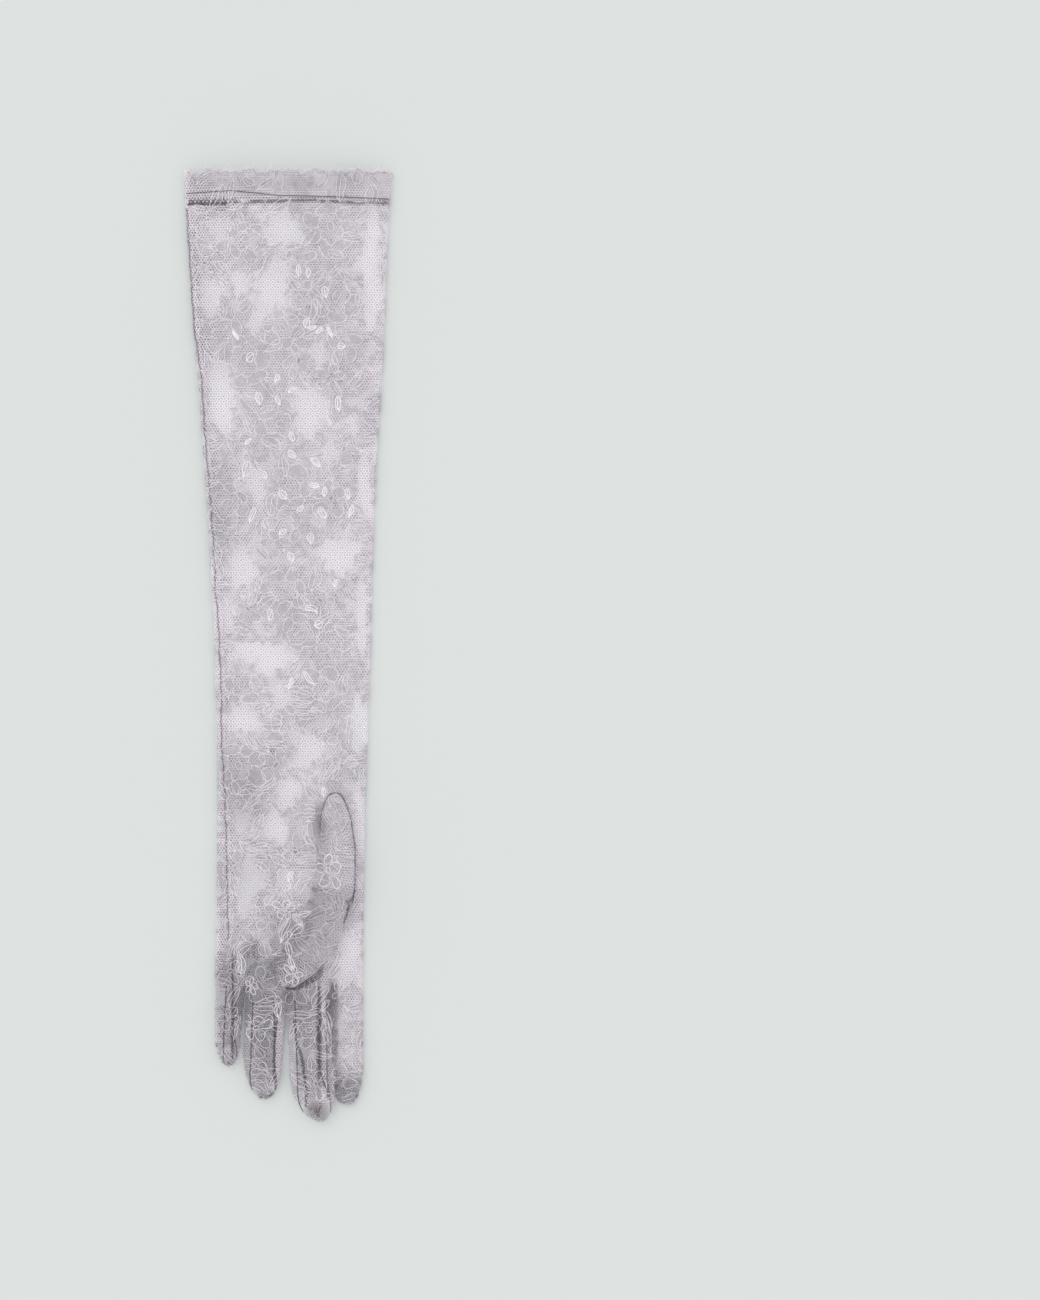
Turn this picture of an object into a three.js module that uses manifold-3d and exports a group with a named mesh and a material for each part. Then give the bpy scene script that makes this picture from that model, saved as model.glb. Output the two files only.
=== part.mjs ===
// One elbow-length lace glove, lying flat with its palm up and its thumb folded back over the palm.
// Millimetres, +Z up. The origin is the middle of the footprint, at the underside that rests.
// +Y runs from the fingertips to the cuff, and the thumb is on the +X side.
//
// The glove is a flattened tube of lace with four finger tubes, open at the cuff. The palm, back and
// sleeve are one sheet, folded at the thumb side and joined by a seam at the little-finger side.
// Narrow strips of lace, the fourchettes, form the facing sides of neighbouring fingers.
import * as THREE from 'three';
import { mergeVertices } from 'three/addons/utils/BufferGeometryUtils.js';
import Module from 'manifold-3d';

const wasm = await Module();
wasm.setup();

// Driving dimensions
const LENGTH = 599.2; // fingertip to cuff edge
const WALL = 1.0; // lace ply
const SEAM_GAP = 0.3; // between pieces that are sewn together
const EDGE_RISE = 2.2; // height of a folded edge above the table
const MIN_RISE = 0.3; // least height kept between the fold and the top or bottom of a section
const ROUNDNESS = 2.6; // 2 gives an ellipse, more gives a flatter crown
const BODY_POINTS = 28; // around the sleeve
const FINGER_POINTS = 20;
const BEYOND = 20; // how far a cutter runs past what it cuts

const CUFF_Y = LENGTH / 2;

// The sleeve and hand, cuff to finger roots. left and right are the folded edges, crown the height.
const BODY = [
  { y: CUFF_Y, left: -65.6, right: 66.0, crown: 11.4 },
  { y: 283.0, left: -64.7, right: 64.2, crown: 10.2 },
  { y: 255.0, left: -63.2, right: 62.8, crown: 10.6 },
  { y: 211.0, left: -59.9, right: 61.2, crown: 9.6 },
  { y: 167.0, left: -56.6, right: 59.0, crown: 10.2 },
  { y: 117.0, left: -52.9, right: 56.0, crown: 9.2 },
  { y: 66.5, left: -49.6, right: 53.4, crown: 9.8 },
  { y: 16.0, left: -46.9, right: 52.5, crown: 8.8 },
  { y: -34.0, left: -45.4, right: 51.0, crown: 9.2 },
  { y: -85.0, left: -44.2, right: 49.2, crown: 8.6 },
  { y: -135.0, left: -44.5, right: 48.2, crown: 8.4 },
  { y: -179.0, left: -45.2, right: 47.0, crown: 8.8 },
  { y: -214.0, left: -45.9, right: 47.2, crown: 8.2 },
];

// Each finger from its root to its rounded tip. shoulder is where the rounding starts.
// The middle finger lies over the near edge of the index finger: its underside ramps up between
// from and to by height, and the top of the index finger is pressed down to height beside it.
const ROOT_Y = -196;
const FINGERS = [
  { name: 'little', crotchY: -217, rootLeft: -45.2, rootRight: -24.5,
    shoulderY: -246, left: -45.9, right: -29.8, tipY: -264.9, tipX: -37.3, crown: 7.8 },
  { name: 'ring', crotchY: -225.6, rootLeft: -25.9, rootRight: 2.5,
    shoulderY: -256, left: -28.2, right: -3.2, tipY: -285.7, tipX: -14.6, crown: 8.0 },
  { name: 'middle', crotchY: -216, rootLeft: -1.3, rootRight: 29.4,
    shoulderY: -270, left: 1.0, right: 30.2, tipY: -CUFF_Y, tipX: 20.2, crown: 8.8,
    lift: { from: 12.0, to: 18.0, height: 3.6 } },
  { name: 'index', rootLeft: 22.4, rootRight: 46.8,
    shoulderY: -262, left: 20.4, right: 47.2, tipY: -288.9, tipX: 37.8, crown: 7.8,
    press: { from: 30.9, to: 36.4, height: 3.0 } },
];
const ROOT_CROWN = 0.94; // share of the crown where a finger starts inside the hand
const TIP_ANGLES = [0, 28, 50, 68, 82, 90]; // degrees round the tip, one row each
const TIP_WIDTH = 1.6; // narrowest row of a tip
const TIP_CROWN = 0.62; // share of the crown that is left at the very tip

// The thumb from its tip, which points to the cuff, to its root over the hole in the palm.
// heading is the direction from tip to root, in degrees from -Y towards -X.
const THUMB = [
  { x: 29.6, y: -92.4, heading: -6, halfWidth: 1.0, crest: 4.0 },
  { x: 29.6, y: -93.8, heading: -6, halfWidth: 4.0, crest: 5.0 },
  { x: 29.8, y: -98.0, heading: -4, halfWidth: 6.8, crest: 6.4 },
  { x: 30.4, y: -107.0, heading: -2, halfWidth: 9.8, crest: 7.4 },
  { x: 31.0, y: -126.0, heading: 2, halfWidth: 12.4, crest: 7.7 },
  { x: 30.4, y: -148.0, heading: 10, halfWidth: 13.2, crest: 7.7 },
  { x: 26.6, y: -166.0, heading: 25, halfWidth: 14.4, crest: 7.6 },
  { x: 17.4, y: -184.0, heading: 38, halfWidth: 15.4, crest: 7.2 },
  { x: 7.0, y: -198.0, heading: 43, halfWidth: 13.4, crest: 6.4 },
  { x: -1.4, y: -208.6, heading: 48, halfWidth: 8.6, crest: 5.0 },
  { x: -5.0, y: -212.2, heading: 50, halfWidth: 3.0, crest: 3.8 },
];
const THUMB_LIFT = 1.0; // the thumb's folded sides above the palm
const THUMB_SINK = 1.5; // its form dips this far into the palm before the palm is cut away from it
const THUMB_HALF = 0.5; // least half width of a section
const THUMB_HOLE = { x: 17.6, y: -178.0, heading: 27, length: 62, width: 15, sides: 16, headroom: 3 };

// The stretches of bare net between the flowers, seen as the light windows of the lace.
// x and y are the centre, tilt turns the long axis anticlockwise from +Y. In palmOnly ones there
// are flowers in the layer below.
const WINDOWS = [
  { x: -3.3, y: 262.0, width: 22, length: 20, tilt: 0 },
  { x: -43.0, y: 262.0, width: 15, length: 17, tilt: 20 },
  { x: 53.6, y: 262.0, width: 8, length: 22, tilt: 0 },
  { x: -8.9, y: 227.0, width: 17, length: 27, tilt: -14 },
  { x: -31.0, y: 227.0, width: 10, length: 15, tilt: 10 },
  { x: -49.0, y: 220.0, width: 12, length: 26, tilt: 5 },
  { x: 51.6, y: 225.0, width: 9, length: 34, tilt: 2 },
  { x: -19.5, y: 203.5, width: 8, length: 12, tilt: -20 },
  { x: 19.0, y: 184.0, width: 8, length: 13, tilt: 12 },
  { x: -45.0, y: 182.0, width: 11, length: 26, tilt: 4, palmOnly: true },
  { x: -41.5, y: 148.0, width: 12, length: 28, tilt: 6 },
  { x: 12.3, y: 149.0, width: 16, length: 26, tilt: -6 },
  { x: 41.0, y: 138.0, width: 7, length: 15, tilt: 4 },
  { x: 27.0, y: 121.0, width: 9, length: 10, tilt: 0 },
  { x: -20.0, y: 102.0, width: 9, length: 19, tilt: 8 },
  { x: 31.8, y: 57.0, width: 21, length: 22, tilt: 10 },
  { x: -28.6, y: 49.0, width: 13, length: 25, tilt: 6 },
  { x: -37.4, y: 20.0, width: 8, length: 18, tilt: 0 },
  { x: -9.5, y: -10.0, width: 19, length: 17, tilt: 30 },
  { x: 9.0, y: -16.0, width: 8, length: 10, tilt: 0 },
  { x: 39.6, y: 2.0, width: 7, length: 12, tilt: 0 },
  { x: -4.6, y: -33.0, width: 9, length: 14, tilt: 8 },
  { x: -29.4, y: -44.0, width: 19, length: 23, tilt: -8 },
  { x: 40.8, y: -50.0, width: 7, length: 27, tilt: 0 },
  { x: 13.2, y: -66.0, width: 13, length: 28, tilt: -22, palmOnly: true },
  { x: 0.3, y: -94.0, width: 15, length: 20, tilt: -10 },
  { x: -32.6, y: -118.0, width: 11, length: 24, tilt: 0 },
  { x: -8.6, y: -119.0, width: 11, length: 15, tilt: 0 },
  { x: -25.6, y: -149.0, width: 12, length: 24, tilt: -12 },
  { x: -3.6, y: -150.5, width: 8, length: 13, tilt: -12 },
  { x: 38.6, y: -190.0, width: 7, length: 20, tilt: -4, palmOnly: true },
];
const WINDOW_SIDES = 8;

// The cuff edge turned in and sewn down. spare is how far its inner cutter runs past it.
const HEM = { top: 296.0, middle: 283.0, bottom: 277.0, ply: 1.0, spare: 1.0 };

// Shallow bites in the cuff's lace edge. Every second one has only the share shallow of the depth.
// reach is half a bite as a share of their pitch, shoulder the share of its depth at its sides.
const SCALLOPS = { count: 9, depth: 2.4, shallow: 0.6, reach: 0.3, shoulder: 0.35 };

const SIDE_SEAM = { top: 275.5, bottom: -186, inset: 4.6, width: 4.4, ply: 0.8 };

// width is how far a strip shows beside the finger's edge, reach how far its point runs up the palm,
// point how long the point is, tipClear how far it stops short of the tip, taper the share of its
// width there, beyond the cutter's spare, lap how far the bands of two stacked fingers overlap.
const FOURCHETTE = { width: 5.2, reach: 7, point: 6, tipClear: 13, taper: 0.6, beyond: 0.4, lap: 0.05 };

const lerp = (a, b, t) => a + (b - a) * t;
const degrees = (a) => (a * Math.PI) / 180;
const superPower = (v) => Math.sign(v) * Math.abs(v) ** (2 / ROUNDNESS);

// A closed solid through rings that all have the same number of points, capped at both ends.
function loft(rings) {
  const count = rings[0].length;
  const vertices = rings.flat(2);
  const triangles = [];
  for (let r = 0; r + 1 < rings.length; r++) {
    for (let k = 0; k < count; k++) {
      const a = r * count + k;
      const b = r * count + ((k + 1) % count);
      triangles.push(a, b, b + count, a, b + count, a + count);
    }
  }
  const last = (rings.length - 1) * count;
  for (let k = 1; k + 1 < count; k++) {
    triangles.push(0, k + 1, k, last, last + k, last + k + 1);
  }
  return solid(vertices, triangles);
}

function solid(vertices, triangles) {
  const mesh = () => new wasm.Mesh({
    numProp: 3,
    vertProperties: new Float32Array(vertices),
    triVerts: new Uint32Array(triangles),
  });
  const made = new wasm.Manifold(mesh());
  if (made.volume() > 0) return made;
  for (let t = 0; t < triangles.length; t += 3) {
    [triangles[t], triangles[t + 1]] = [triangles[t + 1], triangles[t]];
  }
  return new wasm.Manifold(mesh());
}

// An upright prism over a plan outline, from the height low to the height high.
function prism(outline, low, high) {
  const shape = new THREE.Shape(outline.map(([x, y]) => new THREE.Vector2(x, y)));
  const geometry = new THREE.ExtrudeGeometry(shape, { depth: high - low, bevelEnabled: false });
  geometry.translate(0, 0, low);
  geometry.deleteAttribute('normal');
  geometry.deleteAttribute('uv');
  const merged = mergeVertices(geometry);
  return solid([...merged.attributes.position.array], [...merged.index.array]);
}

const ramp = (x, { from, to }) => THREE.MathUtils.clamp((x - from) / (to - from), 0, 1);

// The height of a tube's top at x, lower where another finger presses it down.
function topAt(row, x) {
  if (!row.press) return row.crown;
  return lerp(Math.min(row.press.height, row.crown), row.crown, ramp(x, row.press));
}

// The section of a flattened tube: flat below, rounded folds at the sides, a low crown above.
function flatSection(row, inset, points) {
  const middle = (row.left + row.right) / 2;
  const half = (row.right - row.left) / 2 - inset;
  const ring = [];
  for (let k = 0; k < points; k++) {
    const angle = (2 * Math.PI * (k + 0.5)) / points;
    const x = middle + half * superPower(Math.cos(angle));
    const bed = row.lift ? row.lift.height * ramp(x, row.lift) : 0;
    const top = topAt(row, x);
    const fold = bed + Math.min(EDGE_RISE, (top - bed) / 2);
    const low = bed + inset;
    const high = top - inset;
    const edge = Math.min(Math.max(fold, low + MIN_RISE), high - MIN_RISE);
    const rise = superPower(Math.sin(angle));
    const z = rise > 0 ? edge + (high - edge) * rise : Math.max(low, edge + (edge - low) * 1.5 * rise);
    ring.push([x, row.y, z]);
  }
  return ring;
}

function fingerRows(finger, inset) {
  const { lift, press } = finger;
  const root = { left: finger.rootLeft, right: finger.rootRight, crown: finger.crown * ROOT_CROWN };
  const rows = [{ y: ROOT_Y, ...root, lift, press }];
  const half = (finger.right - finger.left) / 2;
  const middle = (finger.left + finger.right) / 2;
  const reach = finger.shoulderY - finger.tipY - inset;
  for (const angle of TIP_ANGLES) {
    const along = Math.sin(degrees(angle));
    const across = Math.cos(degrees(angle));
    const halfHere = Math.max((half - inset) * across, TIP_WIDTH / 2) + inset;
    const x = lerp(middle, finger.tipX, along ** 2);
    const crown = finger.crown * lerp(TIP_CROWN, 1, across);
    const y = finger.shoulderY - reach * along;
    rows.push({ y, left: x - halfHere, right: x + halfHere, crown, lift, press });
  }
  return rows;
}

// The row of a table at a given y, by straight interpolation.
function rowAt(rows, y) {
  const n = rows.findIndex((row) => row.y <= y);
  const [a, b] = n <= 0 ? [rows[0], rows[1]] : [rows[n - 1], rows[n]];
  const t = THREE.MathUtils.clamp((y - a.y) / (b.y - a.y), 0, 1);
  return {
    y,
    left: lerp(a.left, b.left, t),
    right: lerp(a.right, b.right, t),
    crown: lerp(a.crown, b.crown, t),
  };
}

function topOfBody(x, y) {
  const row = rowAt(BODY, y);
  const half = (row.right - row.left) / 2;
  const across = Math.min(Math.abs(x - (row.left + row.right) / 2) / half, 1);
  const rise = (1 - across ** ROUNDNESS) ** (1 / ROUNDNESS);
  return EDGE_RISE + (row.crown - EDGE_RISE) * rise;
}

function bodyTube(inset, extraTop = 0) {
  const rows = BODY.map((row) => ({ ...row }));
  rows[rows.length - 1].y += Math.max(inset, 0);
  if (extraTop) rows.unshift({ ...rows[0], y: rows[0].y + extraTop });
  return loft(rows.map((row) => flatSection(row, inset, BODY_POINTS)));
}

function fingerTube(finger, inset) {
  const rows = fingerRows(finger, inset);
  return loft(rows.map((row) => flatSection(row, inset, FINGER_POINTS)));
}

// Palm, back, sleeve and fingers together, without any hollow.
function gloveForm(inset, extraTop = 0) {
  return FINGERS.reduce((form, finger) => form.add(fingerTube(finger, inset)), bodyTube(inset, extraTop));
}

// Outline of an ellipse in plan, turned by tilt.
function ovalOutline({ x, y, width, length, tilt }, sides) {
  const outline = [];
  const turn = degrees(tilt);
  for (let k = 0; k < sides; k++) {
    const angle = (2 * Math.PI * (k + 0.5)) / sides;
    const u = (width / 2) * Math.cos(angle);
    const v = (length / 2) * Math.sin(angle);
    outline.push([
      x + u * Math.cos(turn) - v * Math.sin(turn),
      y + u * Math.sin(turn) + v * Math.cos(turn),
    ]);
  }
  return outline;
}

const midHeight = (y) => rowAt(BODY, y).crown / 2;

// The windows go through both layers of the lace, except those of the palm side alone.
function pierced(shell) {
  for (const window of WINDOWS) {
    const low = window.palmOnly ? midHeight(window.y) : -BEYOND;
    shell = shell.subtract(prism(ovalOutline(window, WINDOW_SIDES), low, BEYOND));
  }
  return shell;
}

function scalloped(shell) {
  const { left, right } = BODY[0];
  const pitch = (right - left) / SCALLOPS.count;
  const reach = pitch * SCALLOPS.reach;
  for (let k = 0; k < SCALLOPS.count; k++) {
    const x = left + pitch * (k + 0.5);
    const depth = SCALLOPS.depth * (k % 2 ? SCALLOPS.shallow : 1);
    const outline = [
      [x - reach, CUFF_Y + BEYOND],
      [x - reach, CUFF_Y - depth * SCALLOPS.shoulder],
      [x, CUFF_Y - depth],
      [x + reach, CUFF_Y - depth * SCALLOPS.shoulder],
      [x + reach, CUFF_Y + BEYOND],
    ];
    shell = shell.subtract(prism(outline, -BEYOND, BEYOND));
  }
  return shell;
}

// The x of a finger's folded edge at a given y, along its straight part.
function edgeOf(finger, side, y) {
  const t = (y - ROOT_Y) / (finger.shoulderY - ROOT_Y);
  const [from, to] = side === 'right' ? [finger.rootRight, finger.right] : [finger.rootLeft, finger.left];
  return lerp(from, to, t);
}

// What the strip between two neighbouring fingers takes from the finger on the left, and from the
// finger on the right: a band along each facing edge, both reaching up to a point at the crotch.
function fourchetteBands([a, b], grow) {
  const width = FOURCHETTE.width + grow;
  const beyond = FOURCHETTE.beyond + grow;
  const { crotchY } = a;
  const rootY = crotchY - FOURCHETTE.point;
  const pointY = crotchY + FOURCHETTE.reach + grow;
  const middle = (edgeOf(a, 'right', crotchY) + edgeOf(b, 'left', crotchY)) / 2;
  const band = (finger, side, turn) => {
    const endY = finger.tipY + FOURCHETTE.tipClear - grow;
    return [
      [edgeOf(finger, side, endY) - turn * beyond, endY],
      [edgeOf(finger, side, endY) + turn * width * FOURCHETTE.taper, endY],
      [edgeOf(finger, side, finger.shoulderY) + turn * width, finger.shoulderY],
      [edgeOf(finger, side, rootY) + turn * width, rootY],
      [middle, pointY],
      [middle - turn * beyond, rootY],
    ];
  };
  const stacked = b.press !== undefined;
  const split = stacked ? (a.lift.height + b.press.height) / 2 : 0;
  const upper = prism(band(a, 'right', -1), stacked ? split : -BEYOND, BEYOND);
  const lower = prism(band(b, 'left', 1), -BEYOND, stacked ? split + FOURCHETTE.lap : BEYOND);
  return upper.add(lower);
}

// A thumb section stands across the thumb's heading and follows the palm below it.
function thumbSection(row, inset) {
  const heading = degrees(row.heading);
  const across = [Math.cos(heading), -Math.sin(heading)];
  const half = Math.max(row.halfWidth - inset, THUMB_HALF);
  const ring = [];
  for (let k = 0; k < FINGER_POINTS; k++) {
    const angle = (2 * Math.PI * (k + 0.5)) / FINGER_POINTS;
    const u = half * superPower(Math.cos(angle));
    const rise = superPower(Math.sin(angle));
    const x = row.x + u * across[0];
    const y = row.y + u * across[1];
    const above = rise > 0 ? THUMB_LIFT + (row.crest - THUMB_LIFT - inset) * rise : THUMB_SINK * rise;
    ring.push([x, y, topOfBody(x, y) + above]);
  }
  return ring;
}

function thumbForm(inset) {
  const rows = THUMB.map((row) => ({ ...row }));
  rows[0].y -= inset;
  rows[rows.length - 1].x += inset * Math.SQRT1_2;
  rows[rows.length - 1].y += inset * Math.SQRT1_2;
  return loft(rows.map((row) => thumbSection(row, inset)));
}

function thumbHole() {
  const { x, y, heading, length, width } = THUMB_HOLE;
  return ovalOutline({ x, y, width, length, tilt: -heading }, THUMB_HOLE.sides);
}

// A ribbon of cloth against the inside of the palm-side wall, close to the seam edge.
function seamRibbon() {
  const rings = [];
  const rows = BODY.filter((row) => row.y < SIDE_SEAM.top && row.y > SIDE_SEAM.bottom);
  const stations = [SIDE_SEAM.top, ...rows.map((row) => row.y), SIDE_SEAM.bottom];
  for (const y of stations) {
    const outer = rowAt(BODY, y).left + SIDE_SEAM.inset;
    const inner = outer + SIDE_SEAM.width;
    const under = WALL + SEAM_GAP * 2;
    const zOuter = topOfBody(outer, y) - under;
    const zInner = topOfBody(inner, y) - under;
    rings.push([
      [outer, y, zOuter - SIDE_SEAM.ply],
      [inner, y, zInner - SIDE_SEAM.ply],
      [inner, y, zInner],
      [outer, y, zOuter],
    ]);
  }
  return loft(rings);
}

function hemRing() {
  const outer = WALL + SEAM_GAP;
  const slice = (inset) => {
    const rows = [HEM.top, HEM.middle, HEM.bottom].map((y) => rowAt(BODY, y));
    if (inset > outer) {
      rows[0].y += HEM.spare;
      rows[2].y -= HEM.spare;
    }
    return loft(rows.map((row) => flatSection(row, inset, BODY_POINTS)));
  };
  return slice(outer).subtract(slice(outer + HEM.ply));
}

function meshOf(name, manifold, material) {
  const { numProp, vertProperties, triVerts } = manifold.getMesh();
  const geometry = new THREE.BufferGeometry();
  const positions = new Float32Array((vertProperties.length / numProp) * 3);
  for (let v = 0; v * numProp < vertProperties.length; v++) {
    for (let c = 0; c < 3; c++) positions[v * 3 + c] = vertProperties[v * numProp + c];
  }
  geometry.setAttribute('position', new THREE.BufferAttribute(positions, 3));
  geometry.setIndex(new THREE.BufferAttribute(new Uint32Array(triVerts), 1));
  geometry.computeVertexNormals();
  const mesh = new THREE.Mesh(geometry, material);
  mesh.name = name;
  return mesh;
}

const LACE = new THREE.MeshStandardMaterial({ color: 0xc5c0c6, roughness: 0.85, metalness: 0 });
const SEAM_CLOTH = new THREE.MeshStandardMaterial({ color: 0x979298, roughness: 0.9, metalness: 0 });

const hollow = gloveForm(WALL, BEYOND);
let shell = gloveForm(0).subtract(hollow);
shell = shell.subtract(prism(thumbHole(), midHeight(THUMB_HOLE.y), BEYOND));

const glove = new THREE.Group();
for (let n = 0; n + 1 < FINGERS.length; n++) {
  const [a, b] = [FINGERS[n], FINGERS[n + 1]];
  const strip = shell.intersect(fourchetteBands([a, b], 0));
  shell = shell.subtract(fourchetteBands([a, b], SEAM_GAP));
  glove.add(meshOf(`fourchette_${a.name}_${b.name}`, strip, LACE));
}
shell = scalloped(pierced(shell));

const palmCut = gloveForm(-SEAM_GAP);
const thumbCavity = thumbForm(WALL).subtract(gloveForm(-SEAM_GAP - WALL));
const thumb = thumbForm(0)
  .subtract(palmCut)
  .subtract(thumbCavity)
  .subtract(prism(thumbHole(), 0, topOfBody(THUMB_HOLE.x, THUMB_HOLE.y) + THUMB_HOLE.headroom));

glove.add(meshOf('palm_back_and_sleeve', shell, LACE));
glove.add(meshOf('thumb', thumb, LACE));
glove.add(meshOf('cuff_hem', hemRing(), SEAM_CLOTH));
glove.add(meshOf('side_seam', seamRibbon(), SEAM_CLOTH));

export default glove;
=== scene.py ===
# %% [markdown]
# # An elbow-length lace glove, laid flat
# The glove lies palm up on a pale table with its thumb folded back over the palm. It is lace through and
# through: a fine honeycomb net, closed up by denser weaving into roses, small flowers and leaves, each
# outlined by a thicker cord. Two layers of it lie over each other, so where both are bare net the table
# shows through as a light window, and where flowers lie on flowers the lace reads as grey cloth.
#
# Lace could be an image of holes on a flat sheet, but then the threads would have no edges to catch the
# light, and a closer look would show a picture. Here each net cell is a real opening in a real mesh.

# %% Set up
import math
import random

import bmesh
import bpy
import numpy as np
from mathutils import Matrix, Vector


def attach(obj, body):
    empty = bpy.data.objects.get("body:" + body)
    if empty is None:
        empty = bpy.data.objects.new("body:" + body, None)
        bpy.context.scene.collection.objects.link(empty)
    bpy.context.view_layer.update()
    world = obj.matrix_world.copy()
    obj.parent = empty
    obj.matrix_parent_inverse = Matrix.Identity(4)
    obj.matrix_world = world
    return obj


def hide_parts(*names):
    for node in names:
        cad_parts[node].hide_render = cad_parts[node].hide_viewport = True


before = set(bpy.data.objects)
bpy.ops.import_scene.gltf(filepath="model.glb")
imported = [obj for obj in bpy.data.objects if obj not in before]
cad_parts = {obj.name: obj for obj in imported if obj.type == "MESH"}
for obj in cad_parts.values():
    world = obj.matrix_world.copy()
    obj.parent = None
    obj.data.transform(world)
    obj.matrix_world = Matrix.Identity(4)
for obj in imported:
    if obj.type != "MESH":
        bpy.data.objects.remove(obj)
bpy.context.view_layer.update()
MM = 0.001

# %% [markdown]
# ## The shape of the glove
# Everything below is in millimetres, in the frame of the solid parts: +Y from the fingertips to the cuff,
# +X to the thumb side, the table at zero. The glove is a flattened tube with four finger tubes, so its
# surface is given by a few rows, each with a left edge, a right edge and a crown height. A lace sheet is
# made flat and then each of its points is lifted to this surface.

# %% Rows of the sleeve, hand and fingers
EDGE_RISE = 2.2  # height of a folded edge above the table
ROUNDNESS = 2.6  # of the crown's curve
CUFF_Y = 299.6
HAND_END_Y = -214.0

# y, left, right, crown
BODY = np.array([
    (-214, -45.9, 47.2, 8.2),
    (-179, -45.2, 47, 8.8),
    (-135, -44.5, 48.2, 8.4),
    (-85, -44.2, 49.2, 8.6),
    (-34, -45.4, 51, 9.2),
    (16, -46.9, 52.5, 8.8),
    (66.5, -49.6, 53.4, 9.8),
    (117, -52.9, 56, 9.2),
    (167, -56.6, 59, 10.2),
    (211, -59.9, 61.2, 9.6),
    (255, -63.2, 62.8, 10.6),
    (283, -64.7, 64.2, 10.2),
    (CUFF_Y, -65.6, 66, 11.4),
])

ROOT_Y = -196.0
ROOT_CROWN = 0.94
TIP_CROWN = 0.62
FINGERS = [
    dict(name="little", root=(-45.2, -24.5), shoulder=-246, sides=(-45.9, -29.8),
         tip=(-37.3, -264.9), crown=7.8),
    dict(name="ring", root=(-25.9, 2.5), shoulder=-256, sides=(-28.2, -3.2),
         tip=(-14.6, -285.7), crown=8),
    dict(name="middle", root=(-1.3, 29.4), shoulder=-270, sides=(1, 30.2),
         tip=(20.2, -299.6), crown=8.8, lift=(12, 18, 3.6)),
    dict(name="index", root=(22.4, 46.8), shoulder=-262, sides=(20.4, 47.2),
         tip=(37.8, -288.9), crown=7.8, press=(30.9, 36.4, 3)),
]


# %% A finger's rows
def finger_rows(finger):
    """Rows of one finger, from its rounded tip up to its root: y, left, right, crown."""
    left, right = finger["sides"]
    tip_x, tip_y = finger["tip"]
    middle, half = (left + right) / 2, (right - left) / 2
    rows = [(ROOT_Y, *finger["root"], finger["crown"] * ROOT_CROWN)]
    for angle in (0, 14, 28, 40, 50, 60, 68, 76, 82, 87, 90):
        along, across = math.sin(math.radians(angle)), math.cos(math.radians(angle))
        x = middle + (tip_x - middle) * along**2
        crown = finger["crown"] * (TIP_CROWN + (1 - TIP_CROWN) * across)
        y = finger["shoulder"] - (finger["shoulder"] - tip_y) * along
        reach = max(half * across, 0.8)
        rows.append((y, x - reach, x + reach, crown))
    return np.array(rows[::-1])


for finger in FINGERS:
    finger["rows"] = finger_rows(finger)


def row_at(rows, y):
    return [np.interp(y, rows[:, 0], rows[:, k]) for k in (1, 2, 3)]


# %% Height of a flattened tube
def runs_along(path):
    """How far along a path of plan points each of them lies."""
    return np.concatenate([[0], np.cumsum(np.hypot(*np.diff(path, axis=0).T))])


def swell(across):
    """How far the crown has risen, 0 at a folded edge and 1 in the middle."""
    return (1 - np.clip(np.abs(across), 0, 1) ** ROUNDNESS) ** (1 / ROUNDNESS)


def slope(x, start, end):
    return np.clip((x - start) / (end - start), 0, 1)


def tube_z(rows, x, y, palm_side, lift=None, press=None):
    """Height of a flattened tube's palm side or underside above the table."""
    left, right, crown = row_at(rows, y)
    across = (x - (left + right) / 2) / np.maximum((right - left) / 2, 0.1)
    bed = lift[2] * slope(x, lift[0], lift[1]) if lift else np.zeros_like(x)
    top = crown
    if press:
        low = np.minimum(press[2], crown)
        top = low + (crown - low) * slope(x, press[0], press[1])
    fold = bed + np.minimum(EDGE_RISE, (top - bed) / 2)
    rise = swell(across)
    if palm_side:
        return fold + (top - fold) * rise
    return fold - (fold - bed) * np.minimum(1.5 * rise, 1)


# %% Height of the whole glove
# The middle finger lies on the index finger from where that begins to where its palm side shows.
INDEX_BEGINS = 20.3
INDEX_SHOWS = 30.3
BETWEEN_FINGERS = (-26.7, -0.3)  # the gaps beside the ring finger
BLEND = (204, 226)  # the hand's surface passes into the fingers' between these, below the middle


def finger_z(n, x, y, palm_side):
    finger = FINGERS[n]
    return tube_z(finger["rows"], x, y, palm_side, finger.get("lift"), finger.get("press"))


def glove_z(x, y, palm_side):
    """Height of the glove, blended from the hand into the finger each point belongs to."""
    hand = tube_z(BODY, x, np.maximum(y, HAND_END_Y), palm_side)
    owner = np.digitize(x, (*BETWEEN_FINGERS, INDEX_SHOWS if palm_side else INDEX_BEGINS))
    fingers = np.choose(owner, [finger_z(n, x, y, palm_side) for n in range(4)])
    t = slope(-y, *BLEND)
    t = t * t * (3 - 2 * t)
    return hand * (1 - t) + fingers * t


def above(palm_side, gap):
    """The height of what lies gap above one side of the glove."""
    return lambda x, y: glove_z(x, y, palm_side) + gap


# %% The thumb: x, y, heading, half width, crest above the palm, from its tip to its root
# heading is the direction the thumb runs in, in degrees from -Y towards -X
THUMB = np.array([
    (29.6, -92.4, -6, 1, 4), (29.6, -93.8, -6, 4, 5), (29.8, -98, -4, 6.8, 6.4),
    (30.4, -107, -2, 9.8, 7.4), (31, -126, 2, 12.4, 7.7), (30.4, -148, 10, 13.2, 7.7),
    (26.6, -166, 25, 14.4, 7.6), (17.4, -184, 38, 15.4, 7.2), (7, -198, 43, 13.4, 6.4),
    (-1.4, -208.6, 48, 8.6, 5), (-5, -212.2, 50, 3, 3.8),
])
THUMB_RUN = runs_along(THUMB[:, :2])
print(f"the thumb is {THUMB_RUN[-1]:.0f} mm long along its bend")


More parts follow.
